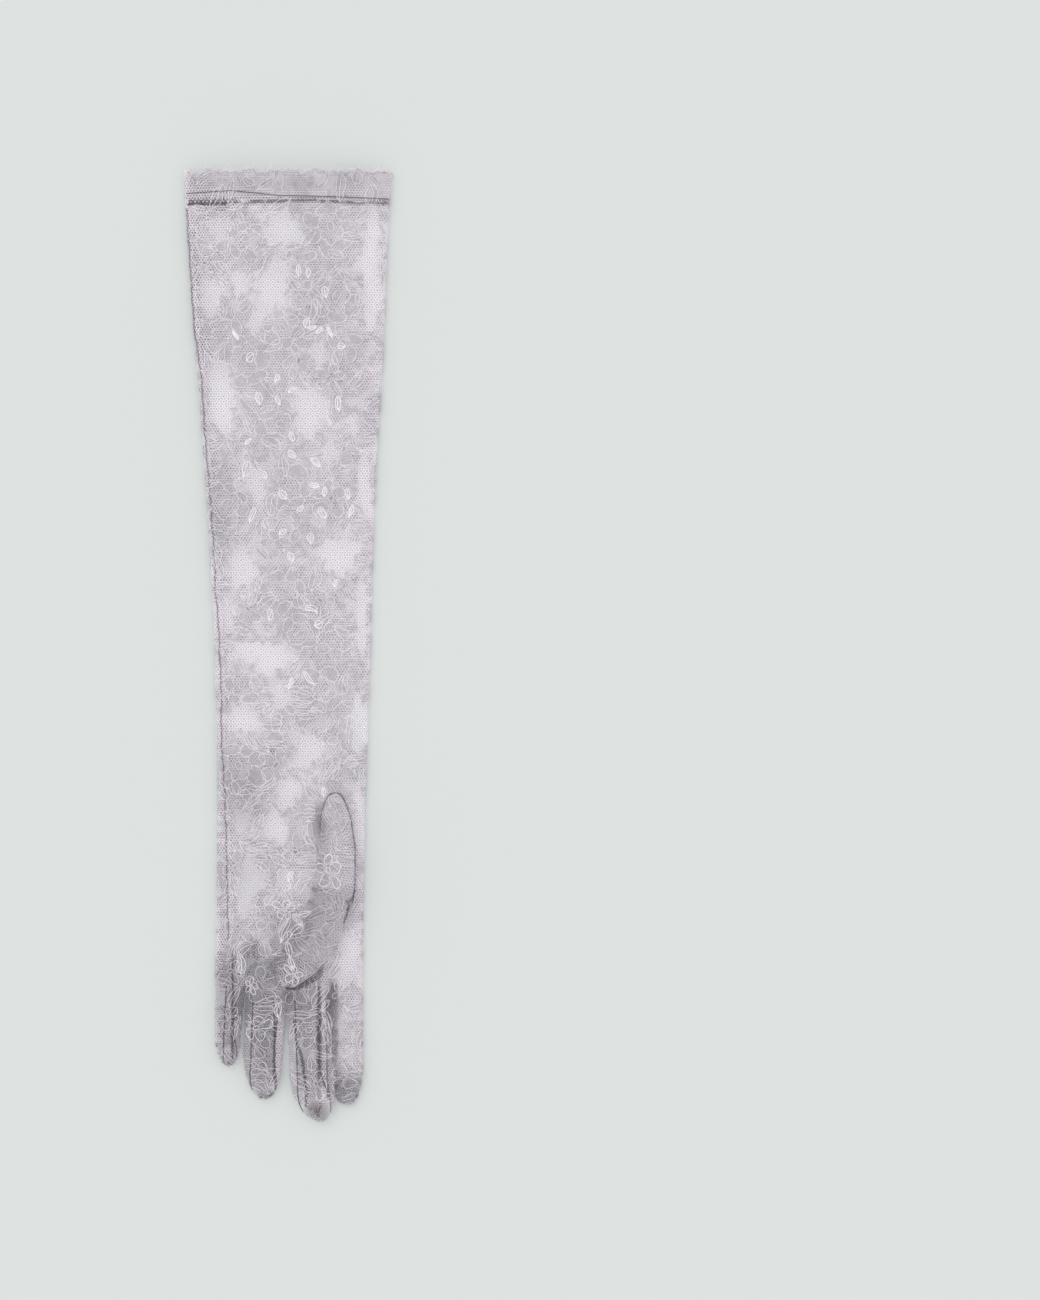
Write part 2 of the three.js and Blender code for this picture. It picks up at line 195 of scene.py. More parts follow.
# %% Places and heights on the thumb
def thumb_row(run):
    return [np.interp(run, THUMB_RUN, THUMB[:, k]) for k in range(5)]


def thumb_place(across, run):
    """The plan place of a point of the flat thumb piece."""
    x, y, heading, _, _ = thumb_row(run)
    turn = np.radians(heading)
    return x + across * np.cos(turn), y - across * np.sin(turn)


def thumb_z(across, run, upper):
    _, _, _, half, crest = thumb_row(run)
    palm = glove_z(*thumb_place(across, run), True)
    return palm + 1 + (crest - 1) * swell(across / half) if upper else palm + 0.4


def in_thumb(across, run):
    _, _, _, half, _ = thumb_row(run)
    return (np.abs(across) < half) & (run > 0) & (run < THUMB_RUN[-1])


def on_thumb(x, y):
    """Across and along the thumb, for places in plan."""
    runs = np.linspace(0, THUMB_RUN[-1], 240)
    cx, cy, heading, _, _ = thumb_row(runs)
    best = np.argmin((x[:, None] - cx) ** 2 + (y[:, None] - cy) ** 2, axis=1)
    turn = np.radians(heading[best])
    return (x - cx[best]) * np.cos(turn) - (y - cy[best]) * np.sin(turn), runs[best]


# %% Outlines
EDGE_BACK, EDGE_WAVE = 1.2, 0.9  # the cuff's lace edge lies back by this much, and goes in and out
NICK = dict(x=-57, width=3.2, depth=3.2)  # a place where the edge is frayed back


def cuff_edge(x):
    wave = np.sin(x * 0.47) + 0.6 * np.sin(x * 1.13 + 1.0) + 0.4 * np.sin(x * 2.3)
    bite = NICK["depth"] * np.exp(-(((x - NICK["x"]) / NICK["width"]) ** 2))
    return CUFF_Y - EDGE_BACK + EDGE_WAVE * wave - bite


def in_hand(x, y, margin=0.0):
    left, right, _ = row_at(BODY, y)
    return (y >= HAND_END_Y) & (y < cuff_edge(x)) & (x > left + margin) & (x < right - margin)


def in_finger(n, x, y, margin=0.0):
    rows = FINGERS[n]["rows"]
    left, right, _ = row_at(rows, y)
    return (y > rows[0, 0] + margin) & (y < HAND_END_Y) & (x > left + margin) & (x < right - margin)


def in_glove(x, y, margin=0.0):
    inside = in_hand(x, y, margin)
    for n in range(4):
        inside |= in_finger(n, x, y, margin)
    return inside


# %% [markdown]
# ## The chart of the lace
# A lace maker works from a chart. This one says, for each cell of the net, whether it stays open, is
# half closed or is woven shut. The roses, small flowers and leaves are set out where the glove shows
# them, and the bare windows between them too. Small leaves then fill what is left, by a fixed seed,
# and small eyelets are left bare in both layers, because the real flowers are full of pinpricks of light.
# Drawing every leaf by hand would look no different, as nobody can tell these small leaves apart.

# %% Windows of bare net: x, y, width, length, tilt
WINDOWS = [
    (-3.3, 262, 24, 22, 0), (-43, 262, 15, 16, 20), (53.6, 262, 8, 24, 0),
    (-8.9, 228, 19, 30, -14), (-31, 229, 10, 16, 10), (-49, 221, 13, 27, 5),
    (53, 222, 11, 62, 2), (-19.5, 205, 9, 16, -20), (19, 184, 9, 15, 12),
    (-42, 156, 17, 48, 6), (12.8, 149, 20, 32, -6), (41, 138, 7, 16, 4),
    (27, 121, 10, 12, 0), (-20, 102, 10, 24, 8), (31.8, 57, 26, 22, 10),
    (48, 100, 8, 42, 4), (-28.6, 48, 16, 26, 6), (-41, 18, 9, 22, 0),
    (-9.5, -8, 24, 18, 30), (-25, -4, 20, 13, 0), (46.5, 10, 6, 50, 0),
    (-4.6, -33, 12, 16, 8), (-28.4, -46, 24, 17, -8), (44.6, -48, 8, 40, 0),
    (13.2, -66, 16, 22, -22), (0.3, -92, 14, 20, -10), (-30, -110, 9, 15, 20),
    (-8.4, -114.5, 15, 20, 18), (-24, -150, 13, 36, -10), (-3.6, -148, 8, 14, -12),
    (38.6, -194, 11, 34, -4), (44.8, -110, 6, 44, 0),
]

# %% Roses and flowers: x, y, radius, turn, petals
ROSES = [
    (-48, 260, 15, 10, 6), (-25, 254, 14, 40, 6), (27, 262, 18, 0, 7), (-50, 242, 10, 20, 5),
    (8, 243, 9, 15, 5), (31, 219, 17, 30, 6), (8.5, 218, 13, 0, 6), (-41, 199, 15, 12, 6),
    (-3, 199, 14, 45, 6), (-27, 179, 18, 5, 7), (35.5, 189, 13, 20, 5), (7, 178, 11, 33, 5),
    (-5, 139, 16, 10, 6), (26, 168, 11, 8, 5), (36, 122, 10, 0, 5), (-38.5, 89, 15, 24, 7),
    (1.2, 99, 16, 0, 6), (26, 92, 13, 18, 5), (-2, 74, 13, 36, 6), (-38, 66, 11, 0, 5),
    (-2, 34, 16, 14, 7), (20, 27, 10, 0, 5), (8, 8, 12, 25, 6), (29, 3, 13, 40, 6),
    (-28, -24, 14, 0, 6), (23, -28, 16, 12, 6), (-24, 22, 9, 20, 5), (1, -52, 14, 30, 6),
    (33, -56, 11, 0, 5), (-30, -76, 17, 18, 7), (-8, -76, 11, 0, 5), (-33, -98, 13, 26, 6),
    (36, -76, 9, 10, 5), (-12, -100, 10, 44, 5), (-33, -138, 11, 0, 5), (-13, -134, 9, 30, 5),
    (6, -128, 10, 12, 5), (10, -106, 9, 0, 5), (-30, -178, 11, 30, 5), (-12, -172, 9, 8, 5),
    (-36, -206, 9, 0, 5), (-16, -214, 11, 20, 5), (6, -216, 10, 12, 5), (-37, -236, 8, 30, 5),
    (-15, -243, 10, 0, 5), (14, -242, 11, 24, 6), (-15, -270, 8, 15, 5), (17, -276, 9, 0, 5),
    (36, -272, 9, 20, 5), (34, -216, 7, 0, 5),
]
BRIGHT_THUMB_FLOWERS = [(26.2, -142, 10, 18, 5), (3.4, -207, 7.5, 0, 5)]
THUMB_FLOWERS = [(30, -112, 8, 0, 5), (12, -184, 11, 10, 5), (27, -164, 8, 30, 5)]
# Bright leaves along the left edge of the thumb's root, laid half on the palm, their cord's colour a
# painted glint: x, y, length, width, turn
ROOT_LEAVES = [
    (7, -172.5, 8, 4.5, 128), (6.6, -179.6, 8, 4.2, 58), (0.6, -183.4, 9, 4.8, 16),
    (1.4, -190, 9, 4.6, 96), (3, -198.6, 8, 4.4, 112), (12.6, -167.4, 7, 3.6, 30),
]

# Leaves worked round an opening with a shinier cord, its lighter colour a painted glint: x, y, length,
# width, turn
BRIGHT_LEAVES = [
    (-29.9, -199.4, 15, 6, 92), (-5.7, -229.6, 11, 5.5, 90), (-1, -178, 13, 5, 65),
    (5, -186, 14, 5, 108), (-4, -192, 11, 5, 20), (-1.3, -150.3, 8, 4, 20), (-5, -146, 8, 4, 100),
    (2.4, -145, 6, 3, 60), (12, 203.2, 6, 3, 70), (15, 201, 5, 2.5, 20), (22.7, 222, 6, 3, 110),
    (14.5, 235.3, 7, 3, 80), (26.5, 195.6, 6, 3, 100), (33.4, 187.4, 6, 3, 150), (-22.7, 179.9, 7, 4, 40),
    (-6.3, 154, 6, 3, 120), (4.4, 159.7, 6, 3, 60), (39.7, 140.2, 7, 3, 95), (-23.9, 128.2, 6, 3, 30),
    (17, 115, 7, 3, 140), (-3.8, 93.6, 8, 4, 130), (22.7, 96.1, 6, 3, 70), (9.5, 85.4, 6, 3, 20),
    (14.5, 68.4, 7, 3, 80), (-12, 20, 6, 3, 60), (14, -20, 6, 3, 120), (22, -92, 7, 3, 75),
    (8, 237, 7, 3.2, 70), (19, 197.5, 6, 3, 30), (-33.2, 195.3, 6, 3, 120), (1.6, 132.2, 8, 3.6, 110),
    (-19, 154, 7, 3.2, 100), (25.5, 121.3, 6, 3, 60), (3.8, 119.2, 7, 3.4, 140), (39.7, 95.3, 7, 3, 95),
    (40.8, 84.4, 6, 3, 70), (22.3, 84.4, 6, 3, 120), (-2.8, 71.3, 7, 3.2, 40), (-24.5, 110.3, 9, 4, 60),
    (-15.8, 108.3, 7, 3.4, 110), (-21.2, 82.2, 8, 3.6, 75), (14.4, 21.9, 7, 3.4, 140), (2, -22.6, 6, 3, 90),
    (19.3, 14.5, 7, 3.4, 30), (19.3, -62.2, 7, 3.2, 50), (9.4, 142.4, 7, 3.2, 20), (33, 152, 7, 3.2, 110),
    (-8, 168, 6, 3, 70), (16.5, 100.5, 6, 3, 150), (29, 40, 6, 3, 60), (4, 55, 7, 3.2, 120),
]


# %% Looking for room on the chart
def rotated(x, y, degrees):
    """A place, seen in axes turned by some degrees."""
    c, s = math.cos(math.radians(degrees)), math.sin(math.radians(degrees))
    return x * c + y * s, y * c - x * s


def in_window(x, y, grow=1.0):
    hit = np.zeros(np.shape(x), bool)
    for wx, wy, width, length, tilt in WINDOWS:
        u, v = rotated(x - wx, y - wy, tilt)
        ragged = 1 + 0.18 * np.sin(3 * np.arctan2(v, u) + wx) + 0.16 * np.sin(7 * np.arctan2(v, u) + wy)
        hit |= (u / (width / 2)) ** 2 + (v / (length / 2)) ** 2 < (grow * ragged) ** 2
    return hit


def room_at(x, y, margin, grow=1.0):
    """True for a place on the glove that is clear of the windows."""
    x, y = np.array([x]), np.array([y])
    return bool((in_glove(x, y, margin) & ~in_window(x, y, grow))[0])


def apart(x, y, placed, gap):
    """True for a place far enough from each thing placed. gap says how far for one of them."""
    return all(math.hypot(x - other[0], y - other[1]) >= gap(other) for other in placed)


# %% Strewing the small leaves
def strewn_leaves(seed, roses, count, spacing, sizes=(9, 16), low=-292):
    """Leaves scattered over the glove, clear of the windows, the roses and one another."""
    chance = random.Random(seed)
    placed = []
    for _ in range(count):
        x, y = chance.uniform(-62, 62), chance.uniform(low, 296)
        length, turn = chance.uniform(*sizes), chance.uniform(0, 360)
        clear = room_at(x, y, 1.5) and apart(x, y, roses, lambda rose: 0.82 * rose[2])
        if clear and apart(x, y, placed, lambda leaf: spacing):
            placed.append((x, y, length, length * chance.uniform(0.36, 0.5), turn))
    return placed


FINGER_ROSE = dict(below=-190, radius=9)  # on the fingers the strewn roses are no larger than this


def strewn_roses(seed, count):
    """The flowers of the layer below, strewn the same way."""
    chance = random.Random(seed)
    placed = []
    for _ in range(count):
        x, y, radius = chance.uniform(-60, 60), chance.uniform(-290, 292), chance.uniform(9, 17)
        if y < FINGER_ROSE["below"]:
            radius = min(radius, FINGER_ROSE["radius"])
        if room_at(x, y, 2, 1.25) and apart(x, y, placed, lambda rose: 0.8 * (radius + rose[2])):
            placed.append((x, y, radius, chance.uniform(0, 60), chance.choice((5, 6, 6, 7))))
    return placed


BACK_ROSES = strewn_roses(11, 1600)
PALM_LEAVES = strewn_leaves(3, ROSES, 5200, 7.0)
BACK_LEAVES = strewn_leaves(5, BACK_ROSES, 4200, 7.6)
EYELETS = strewn_leaves(29, [], 1500, 9.5, sizes=(5, 10), low=-185)
print(len(ROSES), "roses and", len(PALM_LEAVES), "leaves on the palm side;", len(BACK_ROSES), "and",
      len(BACK_LEAVES), "on the back")

# %% [markdown]
# ### Cells of the net
# A cell is bare net, half closed, or woven shut but for a pinhole. In a rose the outer petals and the
# inner ring are woven shut with an open line between petals, as the lace leaves its ground showing
# there. A leaf is closed on one side of its vein and half closed on the other.

# %% Cell classes
NET, HALF, SHUT = 0, 1, 2
WRIST_Y = -100.0  # the bright leaves are open down to here
GAP = 0.24  # share of a petal's width that stays open beside its neighbour
SLIPS = 0.24  # share of the woven cells that came out one class more open


def drift(x, y):
    """How far the worked lace strays from its chart, in millimetres. It makes no two roses alike."""
    u = 1.3 * np.sin(0.21 * x + 1.3 * np.sin(0.13 * y)) + 0.7 * np.sin(0.37 * y + 0.11 * x)
    v = 1.3 * np.sin(0.19 * y + 1.1 * np.sin(0.17 * x)) + 0.7 * np.sin(0.41 * x - 0.09 * y)
    return u, v


def scatter(x, y):
    """An even spread from 0 to 1 that differs from cell to cell."""
    return np.abs(np.sin(12.9 * x + 78.2 * y) * 4375.8) % 1


def petal_shape(angle, petals):
    """How far a flower reaches at an angle. Five petals stand apart, more of them overlap."""
    wave = np.abs(np.cos(petals * angle / 2))
    return wave**0.45 if petals == 5 else 0.74 + 0.26 * wave**0.7


# %% Stamping leaves and roses on the chart
def leaf_edge(u):
    """Half a leaf's width along its vein, from -1 at one tip to 1 at the other."""
    return np.sqrt(np.clip(1 - np.abs(u) ** 1.6, 0, 1))


def leaf_cells(kind, x, y, leaf, upper=SHUT, lower=HALF):
    """Stamps a leaf with one class above its vein and another below."""
    lx, ly, length, width, turn = leaf
    near = (np.abs(x - lx) < length) & (np.abs(y - ly) < length)
    u, v = rotated(x[near] - lx, y[near] - ly, turn)
    u, v = u / (length / 2), v / (width / 2)
    inside = (np.abs(u) < 1) & (np.abs(v) < leaf_edge(u))
    kind[near] = np.where(inside, np.where(v > 0, upper, lower), kind[near])


def rose_cells(kind, x, y, rose):
    rx, ry, radius, turn, petals = rose
    near = (np.abs(x - rx) < radius) & (np.abs(y - ry) < radius)
    dx, dy = x[near] - rx, y[near] - ry
    angle = np.arctan2(dy, dx) - math.radians(turn)
    out = np.hypot(dx, dy) / radius
    outer = out < petal_shape(angle, petals)
    lane = np.abs(np.cos(petals * angle / 2)) < GAP
    fresh = np.where(lane & (out > 0.6), HALF, SHUT)
    if petals > 5:
        inner = out < 0.58 * petal_shape(angle + math.pi / petals, petals)
        fresh = np.where(inner, HALF, fresh)
        fresh = np.where((out > 0.52) & (out < 0.62), SHUT, fresh)
    else:
        fresh = np.where(out < 0.4, HALF, fresh)
    fresh = np.where(out < 0.2, SHUT, fresh)
    kind[near] = np.where(outer, fresh, kind[near])


def chart(x, y, roses, leaves):
    """The class of each cell, from its place."""
    u, v = drift(x, y)
    kind = np.full(x.shape, NET)
    for leaf in leaves:
        leaf_cells(kind, x + u, y + v, leaf)
    for rose in roses:
        rose_cells(kind, x + u, y + v, rose)
    return np.where((scatter(x, y) < SLIPS) & (kind > NET), kind - 1, kind)


def bared(kind, x, y):
    """Leaves the windows and the small eyelets as bare net, through both layers."""
    kind = np.where(in_window(x, y), NET, kind)
    for opening in EYELETS + [leaf for leaf in BRIGHT_LEAVES if leaf[1] > WRIST_Y]:
        leaf_cells(kind, x, y, opening, NET, NET)
    return kind


# %% Outlines of the flowers and leaves, for the cords
def strayed(line):
    """Moves a drawn line to where the worked lace has it."""
    found = line
    for _ in range(3):
        found = line - np.stack(drift(*found.T), 1)
    return found


def rose_lines(rose):
    rx, ry, radius, turn, petals = rose

    def points(out, angle):
        return np.stack([rx + out * np.cos(angle), ry + out * np.sin(angle)], 1)

    start = math.radians(turn)
    around = np.linspace(0, 2 * math.pi, petals * 10 + 1)
    rings = [(0.97, 0.0)] if petals == 5 else [(0.97, 0.0), (0.56, math.pi / petals)]
    lines = []
    for scale, shift in rings:
        out = scale * radius * petal_shape(around + shift, petals)
        lines.append(points(out, around + start))
    lines.append(points(0.17 * radius, np.linspace(0, 2 * math.pi, 9)))
    if petals > 5:
        for k in range(petals):
            angle = start + (2 * k + 1) * math.pi / petals
            lines.append(points(np.linspace(0.5, 0.76, 4) * radius, angle))
    return [strayed(line) for line in lines]


def leaf_lines(leaf):
    lx, ly, length, width, turn = leaf
    u = np.linspace(-1, 1, 8)
    v = leaf_edge(u)
    rim = np.concatenate([np.stack([u, v], 1), np.stack([u, -v], 1)[::-1]])
    vein = np.stack([np.linspace(-1.25, 0.8, 5), 0.12 * np.sin(np.linspace(0, 3, 5))], 1)
    lines = []
    for path in (rim, vein):
        x, y = rotated(path[:, 0] * length / 2, path[:, 1] * width / 2, -turn)
        lines.append(strayed(np.stack([lx + x, ly + y], 1)))
    return lines


# %% [markdown]
# ## Colour
# The threads are a pale greyish lilac. Bare net is a little pinker and lighter than the woven flowers,
# because a single thread lets the light through. Where more layers lie on one another, in the fingers and
# at the root of the thumb, the lace is painted plainly darker, for the layers and as painted shade. Each
# mesh carries this as a number called depth, worked out for each point from a short list of places of
# painted shade and from broad soft clouds, where the lace happens to lie closer. Painting it on a picture
# would tie the colour to one size of picture.

# %% Short ways to a colour and to shader nodes
def linear(*srgb):
    return [((v / 255 + 0.055) / 1.055) ** 2.4 if v > 10 else v / 3294.6 for v in srgb] + [1.0]


def new_node(tree, kind, **inputs):
    """A new shader node. Its inputs are named with an underscore for each space."""
    node = tree.nodes.new("ShaderNode" + kind)
    for name, value in inputs.items():
        node.inputs[name.replace("_", " ")].default_value = value
    return node


def wire(tree, *rows):
    """Joins an output to an input: node, output, node, input."""
    for start, output, end, given in rows:
        tree.links.new(start.outputs[output], end.inputs[given])


# %% The grain of the threads
def thread_grain():
    """Shader group: uneven dye and twist along the threads, as a factor and a height."""
    group = bpy.data.node_groups.new("thread_grain", "ShaderNodeTree")
    group.interface.new_socket("Vector", in_out="INPUT", socket_type="NodeSocketVector")
    group.interface.new_socket("Factor", in_out="OUTPUT", socket_type="NodeSocketFloat")
    group.interface.new_socket("Height", in_out="OUTPUT", socket_type="NodeSocketFloat")
    place, result = group.nodes.new("NodeGroupInput"), group.nodes.new("NodeGroupOutput")
    blotch = new_node(group, "TexNoise", Scale=90.0, Detail=3.0)
    twist = new_node(group, "TexNoise", Scale=1400.0)
    spread = new_node(group, "MapRange", From_Min=0.3, From_Max=0.7)
    wire(group,
         (place, "Vector", blotch, "Vector"),
         (place, "Vector", twist, "Vector"),
         (blotch, "Fac", spread, "Value"),
         (spread, "Result", result, "Factor"),
         (twist, "Fac", result, "Height"))
    return group


GRAIN = thread_grain()


# %% One thread for each kind of work
def thread_material(name, light, dark, roughness=0.75, sheen=0.25, through=0.0):
    """A matt thread that lets a share of the light through, light in one layer and darker by its depth:
    many layers, and painted shade.
    """
    material = bpy.data.materials.new(name)
    material.use_nodes = True
    tree = material.node_tree
    shader = tree.nodes["Principled BSDF"]
    shader.inputs["Roughness"].default_value = roughness
    shader.inputs["Specular IOR Level"].default_value = 0.25
    shader.inputs["Sheen Weight"].default_value = sheen
    shader.inputs["Sheen Roughness"].default_value = 0.5
    place = new_node(tree, "TexCoord")
    grain = new_node(tree, "Group")
    grain.node_tree = GRAIN
    depth = new_node(tree, "Attribute")
    depth.attribute_name = "depth"
    # The depth mixes the light colour into the dark one, for layers piled deep and as painted shade.
    depth_shade_mix = new_node(tree, "Mix")
    depth_shade_mix.data_type = "RGBA"
    depth_shade_mix.inputs["A"].default_value = linear(*light)
    depth_shade_mix.inputs["B"].default_value = linear(*dark)
    dye = new_node(tree, "Mix", Factor=0.35)
    dye.data_type = "RGBA"
    dye.blend_type = "MULTIPLY"
    shade = new_node(tree, "MapRange", To_Min=0.82, To_Max=1.0)
    bump = new_node(tree, "Bump", Strength=0.3, Distance=0.0002)
    wire(tree,
         (place, "Object", grain, "Vector"),
         (depth, "Fac", depth_shade_mix, "Factor"),
         (depth_shade_mix, "Result", dye, "A"),
         (grain, "Factor", shade, "Value"),
         (shade, "Result", dye, "B"),
         (dye, "Result", shader, "Base Color"),
         (grain, "Height", bump, "Height"),
         (bump, "Normal", shader, "Normal"))
    if through:
        behind = new_node(tree, "BsdfTranslucent")
        blend = new_node(tree, "MixShader", Fac=through)
        wire(tree,
             (dye, "Result", behind, "Color"),
             (shader, "BSDF", blend, 1),
             (behind, "BSDF", blend, 2),
             (blend, "Shader", tree.nodes["Material Output"], "Surface"))
    return material


NET_THREAD = thread_material("net_thread", (252, 243, 252), (136, 129, 137), through=0.25)
HALF_WORK = thread_material("half_work", (233, 226, 233), (114, 108, 115), through=0.25)
CLOTH_WORK = thread_material("cloth_work", (194, 188, 195), (98, 92, 99), through=0.2)
OUTLINE_CORD = thread_material("outline_cord", (222, 216, 223), (170, 164, 171), 0.6, 0.4)
# The shinier cord also has a lighter colour, which is a painted glint.
SHEEN_AND_GLINT_CORD = thread_material("sheen_and_painted_glint_cord", (238, 233, 239), (208, 202, 209), 0.5, 0.5)
SEAM_THREAD = thread_material("seam_thread", (134, 128, 135), (84, 79, 86), 0.8, 0.1)
LACE = [NET_THREAD, HALF_WORK, CLOTH_WORK]


# %% Where the layers pile up, and painted shade
# Places where the lace lies doubled or in small folds, darkened as painted shade: x, y, reach across, reach
# along, depth
FOLDS_AND_SHADE = [
    (-22.7, -198, 7, 15, 0.78), (-37, -226, 12, 44, 0.64), (-17, -240, 13, 50, 0.7),
    (6, -222, 16, 26, 0.66), (9, -252, 7, 36, 0.58), (27, -236, 5, 44, 0.42),
    (19, -299, 11, 13, 1), (39, -285, 14, 18, 0.72), (-4, -203, 20, 14, 0.74),
    (0, 293, 80, 7, 0.36), (41, -240, 10, 40, 0.2), (-2, -184, 14, 22, 0.44),
    (-14.6, -287, 9, 9, 0.9), (-37.3, -267, 8, 9, 0.9), (16, -262, 9, 34, 0.42),
    (19.8, -246, 2.2, 40, 1), (28.6, -240, 1.6, 30, 0.7), (-34.6, -236, 1.8, 34, 1),
    (-8.2, -250, 1.6, 34, 0.95), (-42, 90, 9, 34, 0.26), (-28, -92, 16, 26, 0.33),
    (-52, 196, 6, 40, 0.15), (24, 226, 22, 22, 0.12), (22, -8, 16, 30, 0.1),
    (-42, -160, 4, 40, 0.25), (19.6, -114, 5, 15, 0.5), (-17, -153, 16, 26, 0.2),
]


CLOUDS = 0.16  # how far the work is darker where the lace happens to lie denser


def cloud(x, y):
    """Broad soft patches, 0 to 1."""
    u = x + 9 * np.sin(0.045 * y + 0.7) + 4 * np.sin(0.11 * y)
    v = y + 8 * np.sin(0.06 * x) + 3 * np.sin(0.15 * x + 1.9)
    waves = np.sin(0.12 * u + 0.4) * np.sin(0.1 * v) + 0.6 * np.sin(0.27 * u) * np.sin(0.23 * v + 1.1)
    return np.clip(0.5 + 0.45 * waves, 0, 1)


def layers_and_shade(x, y):
    """Depth, 0 for two layers of lace, 1 where the fingers and their seams lie deepest: layers piled up,
    and painted shade.
    """
    deepest = np.where(in_window(x, y), 0, CLOUDS * cloud(x, y))
    for fx, fy, across, along, amount in FOLDS_AND_SHADE:
        spread = ((x - fx) / across) ** 2 + ((y - fy) / along) ** 2
        deepest = np.maximum(deepest, amount * np.exp(-(spread**2)))
    return deepest


def even(value):
    """The same everywhere: a depth, a class of cell, or True."""
    return lambda x, y: np.full(x.shape, value)


# The seam on the little-finger side, as it shows through the palm side: y, x
SEAM = np.array([
    (-262, -40.5), (-246, -40), (-214, -38.4), (-185, -37.2), (-148, -38.1), (-129, -38.4),
    (-97, -39.4), (-60, -41.6), (-28, -41.7), (19, -43.8), (32, -45.4), (54, -46),
    (92, -48.6), (129, -51.8), (168.5, -54.2), (199, -58.8), (240, -61.4), (275, -63.6),
    (285, -64.2),
])


# %% [markdown]
# ## Making a sheet of lace
# One hexagon is copied over and over until it fills the sheet, the cells outside the outline are taken
# away, and each cell is inset by its class, which turns it into a ring of thread round a hole. Copying
# one cell is quick and keeps the net regular, where drawing each thread as a tube would take ten times
# the faces. The flat sheet is then lifted to the glove's surface. The real net is about half as coarse,
# but then the glove would take several million triangles.

# %% Honeycomb
PITCH = 1.8  # from one cell of the net to the next
RING = {NET: 0.08, HALF: 0.14, SHUT: 0.25}  # thread left round each hole, as a share of the pitch
SPARE = 0.7  # of a step, copied along with the rest so that no cell is missed
HALVINGS = 8  # to find the outline between a cell's middle and a point past it


def copied_on(bm, step, length):
    """Repeats everything in the mesh along step until it is length long."""
    have, need = 1, math.ceil(length / step.length) + 1
    while have < need:
        more = min(have, need - have)
        reach = step.normalized()
        start = min(v.co.dot(reach) for v in bm.verts)
        limit = start + step.length * (more + SPARE)
        faces = [f for f in bm.faces if more == have or f.calc_center_median().dot(reach) < limit]
        made = bmesh.ops.duplicate(bm, geom=faces)
        moved = [g for g in made["geom"] if isinstance(g, bmesh.types.BMVert)]
        bmesh.ops.translate(bm, vec=step * have, verts=moved)
        have += more


def honeycomb(x0, x1, y0, y1, pitch, turned=False):
    """Closed hexagons, pitch apart, over the rectangle. Their rows run across, or along if turned."""
    if turned:
        bm = honeycomb(y0, y1, x0, x1, pitch)
        for v in bm.verts:
            v.co.x, v.co.y = v.co.y, v.co.x
        bmesh.ops.reverse_faces(bm, faces=bm.faces[:])
        return bm
    bm = bmesh.new()
    radius = pitch / math.sqrt(3)
    for shift in (Vector((x0, y0, 0)), Vector((x0 + pitch / 2, y0 + 1.5 * radius, 0))):
        place = Matrix.Translation(shift)
        bmesh.ops.create_circle(bm, cap_ends=True, segments=6, radius=radius, matrix=place)
    copied_on(bm, Vector((pitch, 0, 0)), x1 - x0)
    copied_on(bm, Vector((0, 3 * radius, 0)), y1 - y0)
    bmesh.ops.remove_doubles(bm, verts=bm.verts[:], dist=0.02)
    return bm


# %% Cutting a sheet out and opening its cells
def trimmed(bm, inside, share=None):
    """Keeps the cells whose middle is inside, and pulls their rim back to the outline."""
    centres = np.array([f.calc_center_median()[:2] for f in bm.faces])
    keep = inside(*centres.T)
    if share:
        keep &= share(*centres.T)
    bmesh.ops.delete(bm, geom=[f for f, k in zip(bm.faces[:], keep) if not k], context="FACES")
    rim = [v for v in bm.verts if v.is_boundary]
    if not rim:
        return
    place = np.array([v.co[:2] for v in rim])
    home = np.array([v.link_faces[0].calc_center_median()[:2] for v in rim])
    low, high = np.zeros(len(rim)), np.ones(len(rim))
    whole = inside(*place.T)
    for _ in range(HALVINGS):
        t = (low + high) / 2
        tried = home + t[:, None] * (place - home)
        good = inside(*tried.T)
        low, high = np.where(good, t, low), np.where(good, high, t)
    moved = np.where(whole[:, None], place, home + low[:, None] * (place - home))
    for v, (x, y) in zip(rim, moved):
        v.co.x, v.co.y = x, y


def opened(bm, kinds, ring):
    """Insets each cell by its class and takes its middle away."""
    cells = bm.faces[:]
    groups = {kind: [f for f, k in zip(cells, kinds) if k == kind] for kind in ring}
    for kind, faces in groups.items():
        for f in faces:
            f.material_index = kind
    for kind, width in ring.items():
        if groups[kind]:
            bmesh.ops.inset_individual(bm, faces=groups[kind], thickness=width, use_even_offset=True)
    bmesh.ops.delete(bm, geom=cells, context="FACES")


# %% From a mesh to a piece
def in_scene(name, data):
    obj = bpy.data.objects.new(name, data)
    bpy.context.collection.objects.link(obj)
    return obj


def finished(name, mesh, materials, node, depth=None):
    """A mesh in millimetres becomes a piece in metres, with a flat map and its depth."""
    count = len(mesh.vertices)
    co = np.empty(count * 3)
    mesh.vertices.foreach_get("co", co)
    co = co.reshape(-1, 3)
    deep = (depth or layers_and_shade)(co[:, 0], co[:, 1])
    field = mesh.attributes.new("depth", "FLOAT", "POINT")
    field.data.foreach_set("value", np.broadcast_to(deep, (count,)).astype(np.float32))
    low, high = co.min(0), co.max(0)
    corner = np.empty(len(mesh.loops), np.int32)
    mesh.loops.foreach_get("vertex_index", corner)
    flat = (co[corner, :2] - low[:2]) / np.maximum(high[:2] - low[:2], 1e-6)
    layer = mesh.uv_layers.new(name="OFBake")
    layer.data.foreach_set("uv", (0.01 + 0.98 * flat).astype(np.float32).ravel())
    mesh.vertices.foreach_set("co", (co * MM).ravel())
    mesh.update()
    for material in materials:
        mesh.materials.append(material)
    obj = in_scene(name, mesh)
    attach(obj, "root")
    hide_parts(node)
    mesh.calc_loop_triangles()
    print(name, len(mesh.loop_triangles), "triangles")
    return obj


